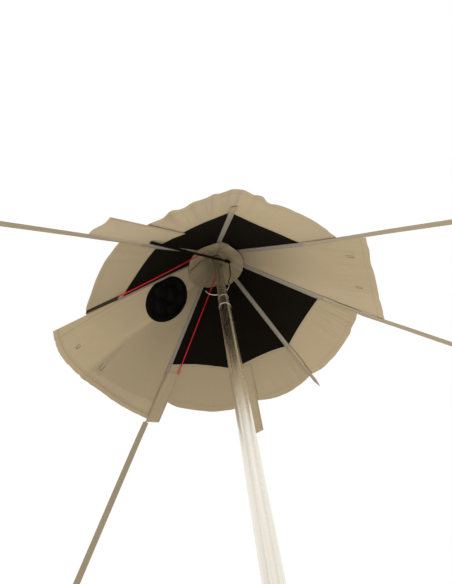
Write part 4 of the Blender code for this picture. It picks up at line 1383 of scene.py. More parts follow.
@dataclass
class StovePort(Assembly):
    """The egg-shaped hole for a stove pipe, its black rim and the loose cover over it."""

    down: float = 0.3235
    across: float = 0.031
    long: float = 0.112
    short: float = 0.0735
    tilt: float = 22.1
    egg: float = 0.070
    square: float = -0.055
    rim: float = 0.007
    rim_t: float = 0.0014
    cover_t: float = 0.0016
    lap: float = 0.006
    fold: float = 0.006
    sides: int = 128
    around_r: float = 0.010
    calm: float = 0.35
    roll: float = 0.0006
    seams: tuple[float, ...] = (-0.0015, -0.0055, -0.0120)
    crumples: Waves = Waves(0.7, 42.0, 30.0, 2.0)
    billows: tuple[float, float, float] = (15.0, 0.2, 9.5)
    creases: tuple[float, float, float, float] = (24.0, 14.0, 10.0, 6.0)
    crease_depth: float = 1.4

    def matrix(self) -> Matrix:
        """Returns the port's frame: x down the slope, y across it and z out of the tent."""
        middle, half = self.crown.sector("fg")
        fall = self.crown.crown_fall / math.cos(half)
        origin = self.crown.on("fg", self.down / math.hypot(1.0, fall), self.across)
        down = Vector((math.cos(middle), math.sin(middle), -fall)).normalized()
        over = Vector((-math.sin(middle), math.cos(middle), 0.0))
        turn = Matrix((down, over, down.cross(over))).transposed().to_4x4()
        return Matrix.Translation(origin) @ turn

    def outline(self, angle: float, grow: float, radius: float = 1.0) -> Vector:
        """Returns a point of the egg in the port's frame.

        Args:
            angle: Where round the egg, in radians.
            grow: How far outside the egg's line.
            radius: Share of the way from its middle.

        Returns:
            The point, on the canvas.
        """
        egg = 1.0 + self.egg * math.cos(angle) + self.square * math.cos(2 * angle)
        x = (self.long + grow) * egg * math.cos(angle) * radius
        y = (self.short + grow) * egg * math.sin(angle) * radius
        return Matrix.Rotation(math.radians(self.tilt), 3, "Z") @ Vector((x, y, 0.0))

    def nearness(self, point: Vector) -> float:
        """Returns 1 on the port and its rim, and falls to 0 some 30 to 40 mm outside them."""
        local = self.matrix().inverted() @ point
        turned = Matrix.Rotation(-math.radians(self.tilt), 3, "Z") @ Vector((local.x, local.y, 0.0))
        share = math.hypot(turned.x / (self.long + self.around_r), turned.y / (self.short + self.around_r))
        return 1.0 - ramp(share, 1.0, self.calm)

    def cut(self, panel: bpy.types.Object, deep: float = 0.020) -> None:
        """Cuts the hole through the stove panel, from so far below it to as far above it."""
        bm = bmesh.new()
        bmesh.ops.create_circle(bm, cap_ends=True, radius=1.0, segments=self.sides)
        for vert in bm.verts:
            vert.co = self.outline(math.atan2(vert.co.y, vert.co.x), -self.rim) - UP * deep
        top = bmesh.ops.extrude_face_region(bm, geom=list(bm.faces))
        for vert in [v for v in top["geom"] if isinstance(v, bmesh.types.BMVert)]:
            vert.co.z = deep
        bmesh.ops.recalc_face_normals(bm, faces=bm.faces)
        bm.transform(self.matrix())
        cutter = settle(bm, "port_cutter")
        change = panel.modifiers.new("Hole", "BOOLEAN")
        change.object = cutter
        change.operation = "DIFFERENCE"
        change.solver = "EXACT"
        bake(panel)
        bpy.data.objects.remove(cutter, do_unlink=True)

    def rim_at(self, s: float, t: float) -> Vector:
        """Returns a point of the rim's upper face, from the hole outwards."""
        point = self.outline(2 * math.pi * s, -2 * self.rim + 2 * self.rim * t)
        point.z = self.roll * arch(t) - self.crown.canvas_t - self.crown.layer_gap
        return self.matrix() @ point

    def cover_at(self, s: float, t: float) -> Vector:
        """Returns a point of the cover's lower face, from its middle outwards."""
        point = self.outline(2 * math.pi * s, self.lap, t)
        x, y = point.x, point.y
        along, phase, aside = self.billows
        wave = math.sin(2 * math.pi * (x * along + phase)) * math.cos(2 * math.pi * y * aside)
        down, slant, over, seed = self.creases
        crease = abs(noise.noise(Vector((x * down + y * slant, y * over, seed))))
        loose = 1.0 + wave + self.crumples.at(x, y) - self.crease_depth * crease
        point.z = self.crown.layer_gap + self.fold * (1.0 - t ** 4) * max(loose, 0.0)
        return self.matrix() @ point

    def build(self) -> None:
        """Makes the rim and the cover."""
        piece = Sheet(self.crown, "cloth_port_rim", self.rim_at, self.sides, steps(0.0, 1.0, 8),
                      self.rim_t, closed=True).build()
        dress(piece.item, self.clothes.black, "stove_port_rim")
        port = self.matrix()
        lines = [[port @ self.outline(2 * math.pi * i / 240, grow) for i in range(241)]
                 for grow in self.seams]
        self.sewing.seam("stitches_port_rim", piece.item, lines, [Face.INNER], LOCKSTITCH,
                         self.clothes.black_thread)
        piece = Sheet(self.crown, "cloth_port_cover", self.cover_at, self.sides, steps(0.0, 1.0, 44),
                      self.cover_t, grows=Grows.OUTWARDS, closed=True).build()
        dress(piece.item, self.clothes.black, "stove_port_cover", body="port_cover")
        declare(piece)


@dataclass
class StovePanel(Assembly):
    """The long panel at -X: a curved hem, a long crease from the port down and two tacked bars."""

    port: StovePort
    hem: float = 0.4165
    hem_half: float = 0.2527
    runs: tuple[float, ...] = (382.2, 385.2, 388.6, 391.9, 394.6, 396.8, 399.6, 402.3, 404.4, 406.3,
                               408.1, 410.1, 411.9, 414.1, 416.5, 419.6, 424.0, 426.5, 427.5, 428.0,
                               427.6, 426.7, 423.8, 419.4, 414.4)
    taper: float = 0.012
    spare: float = 0.011
    spare_from: tuple[float, float] = (0.300, 0.05)
    spare_ends: int = 8
    sag: float = 0.010
    held: float = 14.0
    hem_width: float = 0.009
    hem_step: float = 0.004
    columns: int = 170
    rows: int = 100
    crease: tuple[tuple[float, float], tuple[float, float]] = ((0.250, 0.031), (0.420, 0.088))
    crease_start: tuple[float, float] = (-0.03, 0.07)
    trough: float = 0.010
    trough_width: tuple[float, float] = (0.020, 0.15)
    crest: float = 0.003
    crest_width: tuple[float, float] = (0.035, 0.010)
    edge_band: tuple[float, float] = (0.006, 0.024)
    broad: Waves = Waves(0.0030, 5.0, 16.0, 8.5)
    fine: Waves = Waves(0.0012, 9.0, 60.0, 3.5)
    tacks: tuple[Tack, ...] = (Tack(0.3950, 0.1555, 0.008, 0.006, 0.0014),
                               Tack(0.3850, 0.0530, 0.011, 0.009, 0.0040))
    # Painted light and shade: the painted shade on the side of seam g, beyond the crease, and in the paler
    # band along the hem there.
    near_shade: float = 0.12
    near_until: tuple[float, float] = (0.28, 0.10)
    far_shade: float = 0.41
    far_from: tuple[float, float] = (0.001, 0.010)
    hem_shade: float = 0.20
    hem_band: tuple[float, float] = (0.026, 0.065)
    groove: tuple[float, float, float, float] = (0.0022, 0.0025, 0.008, 0.006)
    groove_from: tuple[float, float] = (0.22, 0.05)
    edge_g: tuple[float, float] = (0.008, 0.018)
    edge_f: float = 0.024

    def hem_at(self, across: float) -> float:
        """Returns the run of the uneven hem."""
        return curve(self.runs, (across / self.hem_half + 1.0) / 2) / 1000

    def from_crease(self, out: float, across: float) -> tuple[float, float]:
        """Returns how far a place lies along the long crease, and beside it towards seam f."""
        (x0, y0), (x1, y1) = self.crease
        length = math.hypot(x1 - x0, y1 - y0)
        return (((out - x0) * (x1 - x0) + (across - y0) * (y1 - y0)) / length,
                ((out - x0) * (y1 - y0) - (across - y0) * (x1 - x0)) / length)

    def tone(self, point: Vector) -> float:
        """Returns the panel's painted shade: slight on the side of seam g, fading out towards the hem and
        lifted by a painted highlight along the crease's crest, and deep beyond the crease, with a paler
        painted band along the hem there.
        """
        out, across = self.crown.flat("fg", point.x, point.y)
        _, aside = self.from_crease(out, across)
        near = self.near_shade * (1.0 - ramp(out, *self.near_until)) * (1.0 - bell(aside, 0.012))
        band = self.hem_band[0] - self.hem_band[1] * across
        on_hem = rise((band - self.hem_at(across) + out) / 0.004)
        far = self.far_shade + (self.hem_shade - self.far_shade) * on_hem
        return near + (far - near) * ramp(aside, *self.far_from)

    def fold(self, out: float, across: float) -> float:
        """Returns the rise of the cloth by its long crease, with a trough on the side of seam f."""
        along, aside = self.from_crease(out, across)
        fade = ramp(along, *self.crease_start)
        if aside < 0.0:
            return self.crest * fade * math.exp(aside / self.crest_width[0])
        near, far = self.trough_width
        drop = (1.0 - math.exp(-aside / near)) * bell(aside, far)
        return fade * (self.crest * math.exp(-aside / self.crest_width[1]) - self.trough * drop)

    def at(self, s: float, t: float) -> Vector:
        """Returns a point of the panel's outer face."""
        crown = self.crown
        chord = crown.chord("fg")
        side = 2 * s - 1
        hem = self.hem_at(side * crown.half_width("fg", self.hem))
        out = crown.eye_r + (hem - crown.eye_r) * t
        past = max(out - chord, 0.0) / (hem - chord)
        across = side * crown.half_width("fg", out) - self.taper * past * max(side, 0.0)
        spare = self.spare * ramp(out, *self.spare_from) * max(-side, 0.0) ** self.spare_ends
        lift = self.fold(out, across) + sum(tack.pucker(out, across) for tack in self.tacks)
        lift += rise(t * 2.0) * (self.broad.at(out, across) + self.fine.at(out, across))
        band = (1.0 - s) * 2.0 * crown.half_width("fg", out)
        fold = self.edge_band[0] + (self.edge_band[1] - self.edge_band[0]) * past
        depth, wide, ridge, ridge_wide = self.groove
        groove = bell(band - fold, wide) - bell(band - fold - ridge, ridge_wide)
        lift -= depth * ramp(out, *self.groove_from) * groove
        plain = crown.on("fg", out, across - spare)
        lift = lift * rise(min(s, 1.0 - s) * self.held) + crown.ripple(plain.x, plain.y)
        lift = lift * (1.0 - self.port.nearness(plain)) - self.sag * past * past * arch(s)
        if spare > 0.0:
            beyond = crown.over(plain.x, plain.y).z + crown.stack(crown.canvas_t, 1)
            plain.z = min(plain.z, beyond)
        return plain + UP * lift

    def build(self) -> None:
        """Makes the panel, cuts its hole and sews it."""
        hem = 1.0 - self.hem_width / (self.hem - self.crown.eye_r)
        piece = Sheet(self.crown, "cloth_panel_stove", self.at, self.columns,
                      hemmed(hem, self.hem_step, self.rows), self.crown.canvas_t,
                      hem_from=hem, hem_t=self.crown.hem_t).build()
        self.port.cut(piece.item)
        smooth(piece.item)
        hole = math.pi * (self.port.long - self.port.rim) * (self.port.short - self.port.rim)
        piece.area = round(piece.area - hole, 5)
        # Light and shade are painted into the panel's colour at its vertices.
        shade(piece.item, self.tone)
        dress(piece.item, self.clothes.shaded, "panel_stove")
        declare(piece)
        run = [self.at(s, hem + 0.004) for s in steps(0.005, 0.995, 160)]
        near, more = self.edge_g
        beside_g = [self.at(1.0 - 2.0 * (near + more * max(t - 0.6, 0.0) / 0.4), t)
                    for t in steps(0.50, 0.99, 90)]
        beside_f = [self.at(self.edge_f, t) for t in steps(0.45, 0.92, 90)]
        dark = self.clothes.dark_thread
        self.sewing.seam("stitches_stove_hem", piece.item, [run], Face, LOCKSTITCH, dark)
        self.sewing.seam("stitches_stove_sides", piece.item, [beside_g, beside_f], [Face.INNER],
                         LOCKSTITCH, dark)
        self.sewing.bars("stitches_stove_tacks", piece.item, "fg", self.tacks, dark)


@dataclass(frozen=True)
class Tape:
    """One seam tape: its width, how far its middle lies beside the seam, and its outer end.

    patch is where the patch over its end starts, if it has one.
    """

    outer: float
    width: float = 0.018
    middle: float = 0.0
    patch: float | None = None


@dataclass
class SeamTapes(Assembly):
    """Grey webbing under each seam, with stitched edges and a boxed end."""

    cuts: dict[str, Tape] = field(default_factory=lambda: {
        "a": Tape(0.357, middle=-0.007, patch=0.332), "b": Tape(0.359, patch=0.320),
        "c": Tape(0.349, patch=0.326), "d": Tape(0.363, 0.017, patch=0.312), "e": Tape(0.345),
        "f": Tape(0.339, 0.014), "g": Tape(0.345, 0.008), "h": Tape(0.345, 0.014)})
    inner_r: float = 0.060
    first_stitch: float = 0.098
    columns: int = 8
    rows: int = 60
    edge: float = 0.0016
    box: float = 0.042
    zigzag: float = 0.0065
    patch_t: float = 0.0006
    patch_over: tuple[float, float] = (0.001, 0.0008)
    patch_gap: float = 0.0001

    def at(self, seam: str, spare: float, under: float, s: float, t: float) -> Vector:
        """Returns a point of the upper face of a tape, or of its patch, which is wider and lower."""
        cut = self.cuts[seam]
        aside = cut.middle + (s - 0.5) * (cut.width + spare)
        return self.crown.soft(self.crown.beside(self.crown.azimuth(seam), t, aside), -under)

    def build(self) -> None:
        """Makes the eight tapes and the patches over the ends of four, and sews them."""
        crown = self.crown
        under = crown.stack(crown.canvas_t, 1)
        straight: list[list[Vector]] = []
        zigzag: list[list[Vector]] = []
        boxes: list[list[Vector]] = []
        for seam, cut in self.cuts.items():
            flat = partial(ribbon, cut.width, math.hypot(1.0, crown.crown_fall))
            piece = Sheet(crown, "web_tape_" + seam, partial(self.at, seam, 0.0, under), self.columns,
                          steps(self.inner_r, cut.outer, self.rows), crown.tape_t, flat=flat).build()
            dress(piece.item, self.clothes.webbing, "seam_tape_" + seam)
            last = min(cut.patch or cut.outer, cut.outer - 0.002)
            self.stitch(piece.item, seam, (self.first_stitch, last), (straight, zigzag))
            if cut.patch:
                wider, longer = self.patch_over
                lower = under + crown.steep * (crown.tape_t + self.patch_gap)
                top = Sheet(crown, "cloth_end_" + seam, partial(self.at, seam, wider, lower), 6,
                            steps(cut.patch, cut.outer + longer, 16), self.patch_t, flat=flat).build()
                dress(top.item, self.clothes.canvas)
                self.stitch(top.item, seam, (cut.patch + 0.002, cut.outer - 0.001), (boxes, boxes))
        self.sewing.sew("stitches_tape_edges", straight, LOCKSTITCH, self.clothes.grey_thread)
        self.sewing.sew("stitches_tape_zigzag", zigzag, ZIGZAG, self.clothes.grey_thread)
        self.sewing.sew("stitches_tape_ends", boxes, ZIGZAG, self.clothes.dark_thread)

    def stitch(self, cloth: bpy.types.Object, seam: str, reach: tuple[float, float],
               lines: tuple[list[list[Vector]], list[list[Vector]]]) -> None:
        """Adds a stitched box and the zigzag inside it.

        Args:
            cloth: The tape or the patch over its end.
            seam: Its seam.
            reach: Where the box starts and ends.
            lines: Takes the box's lines and the zigzag's.
        """
        first, last = reach
        cut = self.cuts[seam]
        half = cut.width / 2 - self.edge
        routes = [[(r, side) for r in steps(first, last, 90)] for side in (-half, half)]
        routes += [[(r, side) for side in (-half, 0.0, half)] for r in (max(first, last - self.box), last)]
        count = round((last - first) / self.zigzag)
        turns = [(r, half if i % 2 else -half)
                 for i, r in enumerate(steps(first + 0.002, last - 0.002, count))]
        for target, route in [(lines[0], route) for route in routes] + [(lines[1], turns)]:
            line = [self.crown.beside(self.crown.azimuth(seam), r, cut.middle + side) for r, side in route]
            line = smooth_line(line, 3) if route is turns else line
            target.append(self.sewing.drop(cloth, line, Face.INNER))


@dataclass
class SeamFells(Assembly):
    """Narrow felled seams on the outside, over the join of each two sheets."""

    width: float = 0.011
    thickness: float = 0.0009
    crest: float = 0.0007
    lift: float = 0.0004
    inner_r: float = 0.108
    outer_r: tuple[float, ...] = (0.4220, 0.3900, 0.4040, 0.3930, 0.3830, 0.3450, 0.3150, 0.3930)
    stitched: float = 0.0036

    def at(self, seam: str, s: float, t: float) -> Vector:
        """Returns a point of a seam's lower face."""
        crown = self.crown
        place = crown.beside(crown.azimuth(seam), t, (s - 0.5) * self.width)
        return crown.soft(place, crown.steep * self.lift + self.crest * arch(s))

    def build(self) -> None:
        """Makes the seams and their two lines of stitches."""
        crown = self.crown
        lines = []
        flat = partial(ribbon, self.width, math.hypot(1.0, crown.crown_fall))
        for seam, reach in zip(SEAMS, self.outer_r):
            piece = Sheet(crown, "cloth_seam_" + seam, partial(self.at, seam), 8,
                          steps(self.inner_r, reach - 0.001, 60), self.thickness,
                          grows=Grows.OUTWARDS, flat=flat).build()
            dress(piece.item, self.clothes.canvas)
            for side in (-self.stitched, self.stitched):
                line = [crown.beside(crown.azimuth(seam), r, side)
                        for r in steps(self.inner_r + 0.004, reach - 0.004, 90)]
                lines.append(self.sewing.drop(piece.item, line, Face.OUTER))
        self.sewing.sew("stitches_seams", lines, LOCKSTITCH, self.clothes.thread)


@dataclass
class Collar(Assembly):
    """The canvas cone that lines the crown and hoods the pole's top, gathered into soft pleats.

    Its reaches are in millimetres, for each 30 degrees from azimuth 0. Its pleats are deepest at the
    azimuth lively, and calm is their share of that on the far side.
    """

    inner_r: float = 0.0186
    reaches: tuple[float, ...] = (102.0, 96.0, 92.0, 89.5, 87.0, 100.0, 108.0, 112.0, 120.0, 127.0,
                                  125.0, 108.0)
    pleat: float = 0.0105
    crease: float = 0.0040
    deepens: tuple[float, float] = (0.30, 0.70)
    hood: float = 0.016
    hood_width: float = 0.22
    thickness: float = 0.0014
    columns: int = 400
    rows: int = 36
    join: tuple[float, float] = (192.0, 0.0237)
    lap: float = 0.0040
    lap_width: float = 0.030
    lively: float = 350.0
    calm: float = 0.40
    folds: tuple[tuple[float, float, float], ...] = ((2.8, 2.0, 0.3), (6.5, 7.0, 0.5))
    fold_sharp: float = 2.6
    # Painted shade: its base value, the darker patch behind the pole, the hollow round the pole, the pleats'
    # hollows and the join's shadow line; the side towards azimuth 0 is painted paler.
    shade: float = 0.30
    shade_behind: tuple[float, float, float] = (0.66, 132.0, 34.0)
    shade_hood: float = 0.60
    shade_folds: tuple[float, float] = (0.50, 0.40)
    shade_join: float = 1.2
    painted_light_side: tuple[float, float] = (0.9, 50.0)

    def around(self, s: float) -> float:
        """Returns the azimuth in degrees at a share of the way round, equal for every sector."""
        whole = min(int(s * len(SEAMS) + 0.000001), len(SEAMS) - 1)
        first = self.crown.azimuths[whole]
        width = (self.crown.azimuths[(whole + 1) % len(SEAMS)] - first) % 360.0
        return first + width * (s * len(SEAMS) - whole)

    def radius(self, azimuth: float, share: float) -> float:
        """Returns the distance from the axis at a share of the way to the hem."""
        ring = (self.reaches[-1], *self.reaches, *self.reaches[:2])
        outer = curve(ring, ((azimuth % 360.0) / 30.0 + 1.0) / (len(ring) - 1)) / 1000
        return self.inner_r + (outer - self.inner_r) * share

    def pleats(self, azimuth: float, t: float) -> tuple[float, float]:
        """Returns how far the broad and the narrow pleats hang at a place, both from 0 to 1."""
        loop = polar(1.0, azimuth)
        lively = self.calm + (1.0 - self.calm) * max(loop.dot(polar(1.0, self.lively)), 0.0)
        waves = (noise.noise(loop * count + UP * (seed + turn * t)) for count, seed, turn in self.folds)
        broad, narrow = (lively * max(1.0 - self.fold_sharp * abs(wave), 0.0) for wave in waves)
        return broad, narrow

    def past_join(self, azimuth: float, radius: float) -> float:
        """Returns how far a place lies beyond the join of the collar's ends, in metres along the hem."""
        return math.radians(azimuth - self.join[0]) * radius - self.join[1]

    def at(self, s: float, t: float) -> Vector:
        """Returns a point of the collar's outer face."""
        crown = self.crown
        azimuth = self.around(s)
        radius = self.radius(azimuth, t)
        broad, narrow = self.pleats(azimuth, t)
        drop = (self.deepens[0] + self.deepens[1] * t) * (self.pleat * broad + self.crease * narrow)
        drop += self.hood * max(1.0 - t / self.hood_width, 0.0) ** 2
        past = self.past_join(azimuth, radius)
        drop += self.lap * max(1.0 - past / self.lap_width, 0.0) ** 2 if past >= 0.0 else 0.0
        lower = crown.stack(crown.canvas_t + crown.tape_t, 2)
        return crown.soft(crown.beside(azimuth, radius), -lower - drop)

    def tone(self, point: Vector) -> float:
        """Returns the collar's painted shade: most in the hollow round the pole and behind it, more in the
        pleats' hollows and along the join's shadow line, and least towards azimuth 0, where light is
        painted.
        """
        azimuth = math.degrees(math.atan2(point.y, point.x)) % 360.0
        share = (math.hypot(point.x, point.y) - self.inner_r) / (self.radius(azimuth, 1.0) - self.inner_r)
        behind, middle, wide = self.shade_behind
        deep = self.shade + behind * bell(azimuth - middle, wide)
        deep += self.shade_hood * (1.0 - rise(share / 0.6))
        paler, wide = self.painted_light_side
        deep *= 1.0 - paler * bell(min(azimuth, 360.0 - azimuth), wide)
        broad, narrow = self.pleats(azimuth, share)
        deep += self.shade_folds[0] * (0.35 - broad) + self.shade_folds[1] * (0.30 - narrow)
        past = self.past_join(azimuth, math.hypot(point.x, point.y))
        return deep + self.shade_join * bell(past + 0.0008, 0.0012)

    def build(self) -> None:
        """Makes the collar and sews its hem and its join."""
        piece = Sheet(self.crown, "cloth_collar", self.at, self.columns, steps(0.0, 1.0, self.rows),
                      self.thickness, closed=True).build()
        # Light and shade are painted into the collar's colour at its vertices.
        shade(piece.item, self.tone)
        dress(piece.item, self.clothes.shaded, "collar")
        declare(piece)
        lines = [[self.at(i / 360, t) for i in range(361)] for t in (0.95, 0.12)]
        self.sewing.seam("stitches_collar", piece.item, lines, [Face.INNER], LOCKSTITCH,
                         self.clothes.thread)
        turned, aside = self.join
        radii = [self.radius(turned + 15.0, t) for t in steps(0.14, 0.97, 40)]
        lines = [[self.crown.beside(turned + math.degrees((aside + off) / radius), radius)
                  for radius in radii] for off in (0.0012, 0.0032)]
        self.sewing.seam("stitches_collar_join", piece.item, lines, [Face.INNER], HEAVY_TACK,
                         self.clothes.dark_thread)


@dataclass
class CrownCap(Assembly):
    """The canvas cap over the eye, on the outside, with a doubled patch at its top."""

    collar: Collar
    radius: float = 0.112
    thickness: float = 0.0016
    patch_r: float = 0.048
    patch_t: float = 0.0010
    patch_gap: float = 0.0002
    pucker: float = 0.0008

    def at(self, raised: float, s: float, t: float) -> Vector:
        """Returns a point of the lower face of the cap, or of the patch, which is raised above it."""
        crown = self.crown
        point = polar(t, self.collar.around(s))
        pucker = self.pucker * (t / self.radius) ** 2 * (1.0 + noise.noise(polar(12.0, 360.0 * s)))
        lift = crown.stack(raised, 1) + crown.ripple(point.x, point.y) + pucker
        return crown.over(point.x, point.y, lift)

    def build(self) -> None:
        """Makes the cap and its patch."""
        cap = Sheet(self.crown, "cloth_cap", partial(self.at, 0.0), 192, steps(0.0, self.radius, 30),
                    self.thickness, grows=Grows.OUTWARDS, closed=True).build()
        dress(cap.item, self.clothes.canvas, "crown_cap")
        declare(cap)
        raised = self.thickness + self.patch_gap
        top = Sheet(self.crown, "cloth_cap_patch", partial(self.at, raised), 128,
                    steps(0.0, self.patch_r, 12), self.patch_t, grows=Grows.OUTWARDS, closed=True).build()
        dress(top.item, self.clothes.canvas)
        declare(top)
        lines = [self.sewing.drop(cloth.item, [self.at(0.0, i / 360, reach) for i in range(361)], Face.OUTER)
                 for cloth, reach in ((cap, self.radius - 0.005), (cap, self.radius - 0.012),
                                      (top, self.patch_r - 0.004))]
        self.sewing.sew("stitches_cap", lines, LOCKSTITCH, self.clothes.thread)


@dataclass(frozen=True)
class Tab:
    """One side tab: its sector, how wide it is and how far from the seam at both ends, and its reach.

    skew is how much farther out it reaches at its far side.
    """

    sector: str
    width: tuple[float, float]
    offset: tuple[float, float]
    inner: float
    outer: float
    skew: float = 0.0
    scallop: float = 0.0


@dataclass
class SideTabs(Assembly):
    """Tabs of canvas under the brim, each beside one seam; the tab beside seam g is coloured dark as a
    painted shadow strip.
    """

    cuts: dict[str, Tab] = field(default_factory=lambda: {
        "e": Tab("de", (0.058, 0.064), (0.0076, 0.0076), 0.3115, 0.470),
        "f": Tab("ef", (0.041, 0.043), (0.0020, -0.0020), 0.333, 0.452),
        "g": Tab("gh", (0.0145, 0.009), (0.0020, 0.0010), 0.338, 0.412),
        "h": Tab("ha", (0.089, 0.076), (0.0062, 0.0062), 0.3115, 0.485, 0.024, 0.0020),
    })
    columns: int = 36
    rows: int = 44
    waves: Waves = Waves(0.0022, 26.0, 26.0, 12.0)
    droop: float = 0.0022
    droop_from: tuple[float, float] = (0.45, 0.55)
    inset: float = 0.004

    def at(self, seam: str, s: float, t: float) -> Vector:
        """Returns a point of a tab's outer face."""
        crown, cut = self.crown, self.cuts[seam]
        half = crown.sector(cut.sector)[1]
        side = -1.0 if cut.sector[0] == seam else 1.0
        inner = cut.inner * math.cos(half)
        outer = cut.outer * math.cos(half) + cut.skew * s + cut.scallop * math.sin(7.0 * s)
        out = inner + (outer - inner) * t
        offset, wide = (pair[0] + (pair[1] - pair[0]) * t for pair in (cut.offset, cut.width))
        edge = out * math.tan(half) - (offset + wide * s) / math.cos(half)
        point = crown.on(cut.sector, out, side * edge)
        wave = self.waves.at(point.x, point.y) * rise(t * 1.5) * arch(0.1 + 0.8 * s)
        droop = self.droop * ramp(t, *self.droop_from) * arch(s)
        lower = crown.stack(crown.canvas_t + crown.tape_t * (1.0 - rise(s * 2.5)), 2)
        return crown.soft(crown.over(point.x, point.y), -lower - abs(wave) - droop)

    def build(self) -> None:
        """Makes the four tabs and their edge stitches."""
        lines = []
        for seam, cut in self.cuts.items():
            piece = Sheet(self.crown, "cloth_tab_" + seam, partial(self.at, seam), self.columns,
                          steps(0.0, 1.0, self.rows), self.crown.canvas_t).build()
            # The tab beside seam g wears a dark colour as a painted shadow strip.
            finish = self.clothes.shadow_strip if seam == "g" else self.clothes.canvas
            dress(piece.item, finish, "side_tab_" + seam)
            declare(piece)
            inset = min(self.inset / cut.width[0], 0.3)
            for s in (inset, 1.0 - inset):
                run = [self.at(seam, s, t) for t in steps(0.02, 0.98, 60)]
                lines.append(self.sewing.drop(piece.item, run, Face.INNER))
        self.sewing.sew("stitches_tabs", lines, LOCKSTITCH, self.clothes.dark_thread)


@dataclass(frozen=True)
class Strap:
    """One guy strap: its width, how far it turns from its seam and where it starts."""

    width: float
    turn: float
    start: float


@dataclass
class GuyStraps(Assembly):
    """Straps from the brim to the ground, each folded round the bar of its ring and sewn."""

    cuts: dict[str, Strap] = field(default_factory=lambda: {
        "b": Strap(0.014, 0.6, 0.3595), "c": Strap(0.014, -4.0, 0.3495), "e": Strap(0.014, 0.0, 0.3455),
        "f": Strap(0.020, 0.0, 0.4525), "h": Strap(0.011, -2.5, 0.3455)})
    thickness: float = 0.0014
    bent_r: float = 0.420
    flat_r: float = 0.520
    bar_z: float = 0.0052
    bore: float = 0.0030
    wall: float = 0.0016
    wire: float = 0.0026
    ring_length: float = 0.034
    ring_side: float = 0.005
    tail_width: float = 0.012
    tail: tuple[float, float] = (0.3635, 0.426)
    tail_taper: float = 0.020
    lap: float = 0.060
    fold_back: float = 0.014
    fold_gap: float = 0.0004
    box: tuple[float, float, float] = (0.036, 0.012, 0.0018)

    def line(self, reach: float) -> float:
        """Returns the height of a strap's upper face at a distance along it on the plan."""
        return self.crown.seam_height(reach) - self.crown.stack(self.crown.hem_t, 1)

    def plan(self, seam: str, reach: float, side: float = 0.0) -> Vector:
        """Returns a place on a strap, along the seam and then along the strap's own line."""
        seam_azimuth = self.crown.azimuth(seam)
        own = seam_azimuth + self.cuts[seam].turn
        past = max(reach - self.bent_r, 0.0)
        return polar(reach - past, seam_azimuth) + polar(past, own) + polar(side, own + 90.0)

    def ends(self) -> tuple[float, float]:
        """Returns the distances on the plan of the ring's bar and of the strap's end."""
        slope = math.atan(self.crown.skirt_fall)
        reach = self.bore + self.wall - self.thickness / 2
        line_z = self.bar_z + math.cos(slope) * reach
        drop = self.thickness / 2 / math.cos(slope)
        ring = self.crown.ring_r
        end = ring + (self.line(ring) - drop - line_z) / self.crown.skirt_fall
        return end - math.sin(slope) * reach, end

    def loop(self) -> list[tuple[float, float]]:
        """Runs the strap's outer face round the bar and back under itself.

        Returns:
            The distance on the plan and the height of each point.
        """
        slope = math.atan(self.crown.skirt_fall)
        bar, _ = self.ends()
        radius = self.bore + self.wall
        back = radius - 2 * self.thickness - self.fold_gap
        made = [(radius * math.cos(turn), radius * math.sin(turn))
                for turn in (math.radians(10.0 * i) for i in range(1, 19))]
        made += [(-radius + (radius + back) * rise(i / 8), -self.fold_back * i / 8) for i in range(1, 9)]
        made += [(back, -along) for along in steps(self.fold_back, self.lap, 10)[1:]]
        return [(bar + up * math.sin(slope) + down * math.cos(slope),
                 self.bar_z + up * math.cos(slope) - down * math.sin(slope)) for up, down in made]

    def height(self, reach: float, point: Vector) -> float:
        """Returns the height of a strap at a place, which bends from the roof to its own line."""
        bent = self.crown.over(point.x, point.y).z - self.crown.seam_height(reach)
        level = ramp(reach, self.bent_r, self.flat_r - self.bent_r)
        ripple = self.crown.ripple(point.x, point.y) if reach < self.bent_r else 0.0
        return self.line(reach) + bent * (1.0 - level) + ripple

    def at(self, seam: str, run: Sequence[tuple[float, float | None]], s: float, t: float) -> Vector:
        """Returns a point of a strap's outer face.

        Args:
            seam: Its seam.
            run: The distance on the plan of each row, and its height where it is in the loop.
            s: Share of the way across.
            t: The row's number.

        Returns:
            The point.
        """
        reach, height = run[int(t)]
        point = self.plan(seam, reach, (s - 0.5) * self.cuts[seam].width)
        return point + UP * (self.height(reach, point) if height is None else height)

    def flat(self, seam: str, lengths: Sequence[float], s: float, t: float) -> tuple[float, float]:
        """Returns the flat coordinates of a strap, from the length up to each row."""
        return s * self.cuts[seam].width, lengths[int(t)]

    def build(self) -> None:
        """Makes the straps, the tail on seam d and the five rings."""
        bar, end = self.ends()
        boxes = []
        for seam, cut in self.cuts.items():
            reaches = steps(cut.start, self.flat_r, 24) + steps(self.flat_r, end - 0.001, 110)[1:]
            run = [(reach, None) for reach in reaches] + self.loop()
            route = [(reach, self.line(reach) if height is None else height) for reach, height in run]
            lengths = [0.0]
            for first, second in zip(route, route[1:]):
                lengths.append(lengths[-1] + math.dist(first, second))
            piece = Sheet(self.crown, "web_strap_" + seam, partial(self.at, seam, run), 6,
                          list(range(len(run))), self.thickness,
                          flat=partial(self.flat, seam, lengths)).build()
            dress(piece.item, self.clothes.strap, "guy_strap_" + seam)
            self.ring(seam, bar)
            boxes.append(self.sewing.drop(piece.item, self.boxed(seam, end), Face.OUTER))
        self.make_tail()
        self.sewing.sew("stitches_straps", boxes, ZIGZAG, self.clothes.thread)

    def boxed(self, seam: str, end: float) -> list[Vector]:
        """Returns the line of the crossed box that is sewn through a strap's loop."""
        first, last, edge = self.box
        near, far, half = end - first, end - last, self.cuts[seam].width / 2 - edge
        corners = [(near, -half), (far, -half), (far, half), (near, half), (near, -half), (far, half),
                   (far, -half), (near, half)]
        return smooth_line([self.plan(seam, reach, side) + UP * self.line(reach)
                            for reach, side in corners], 8)

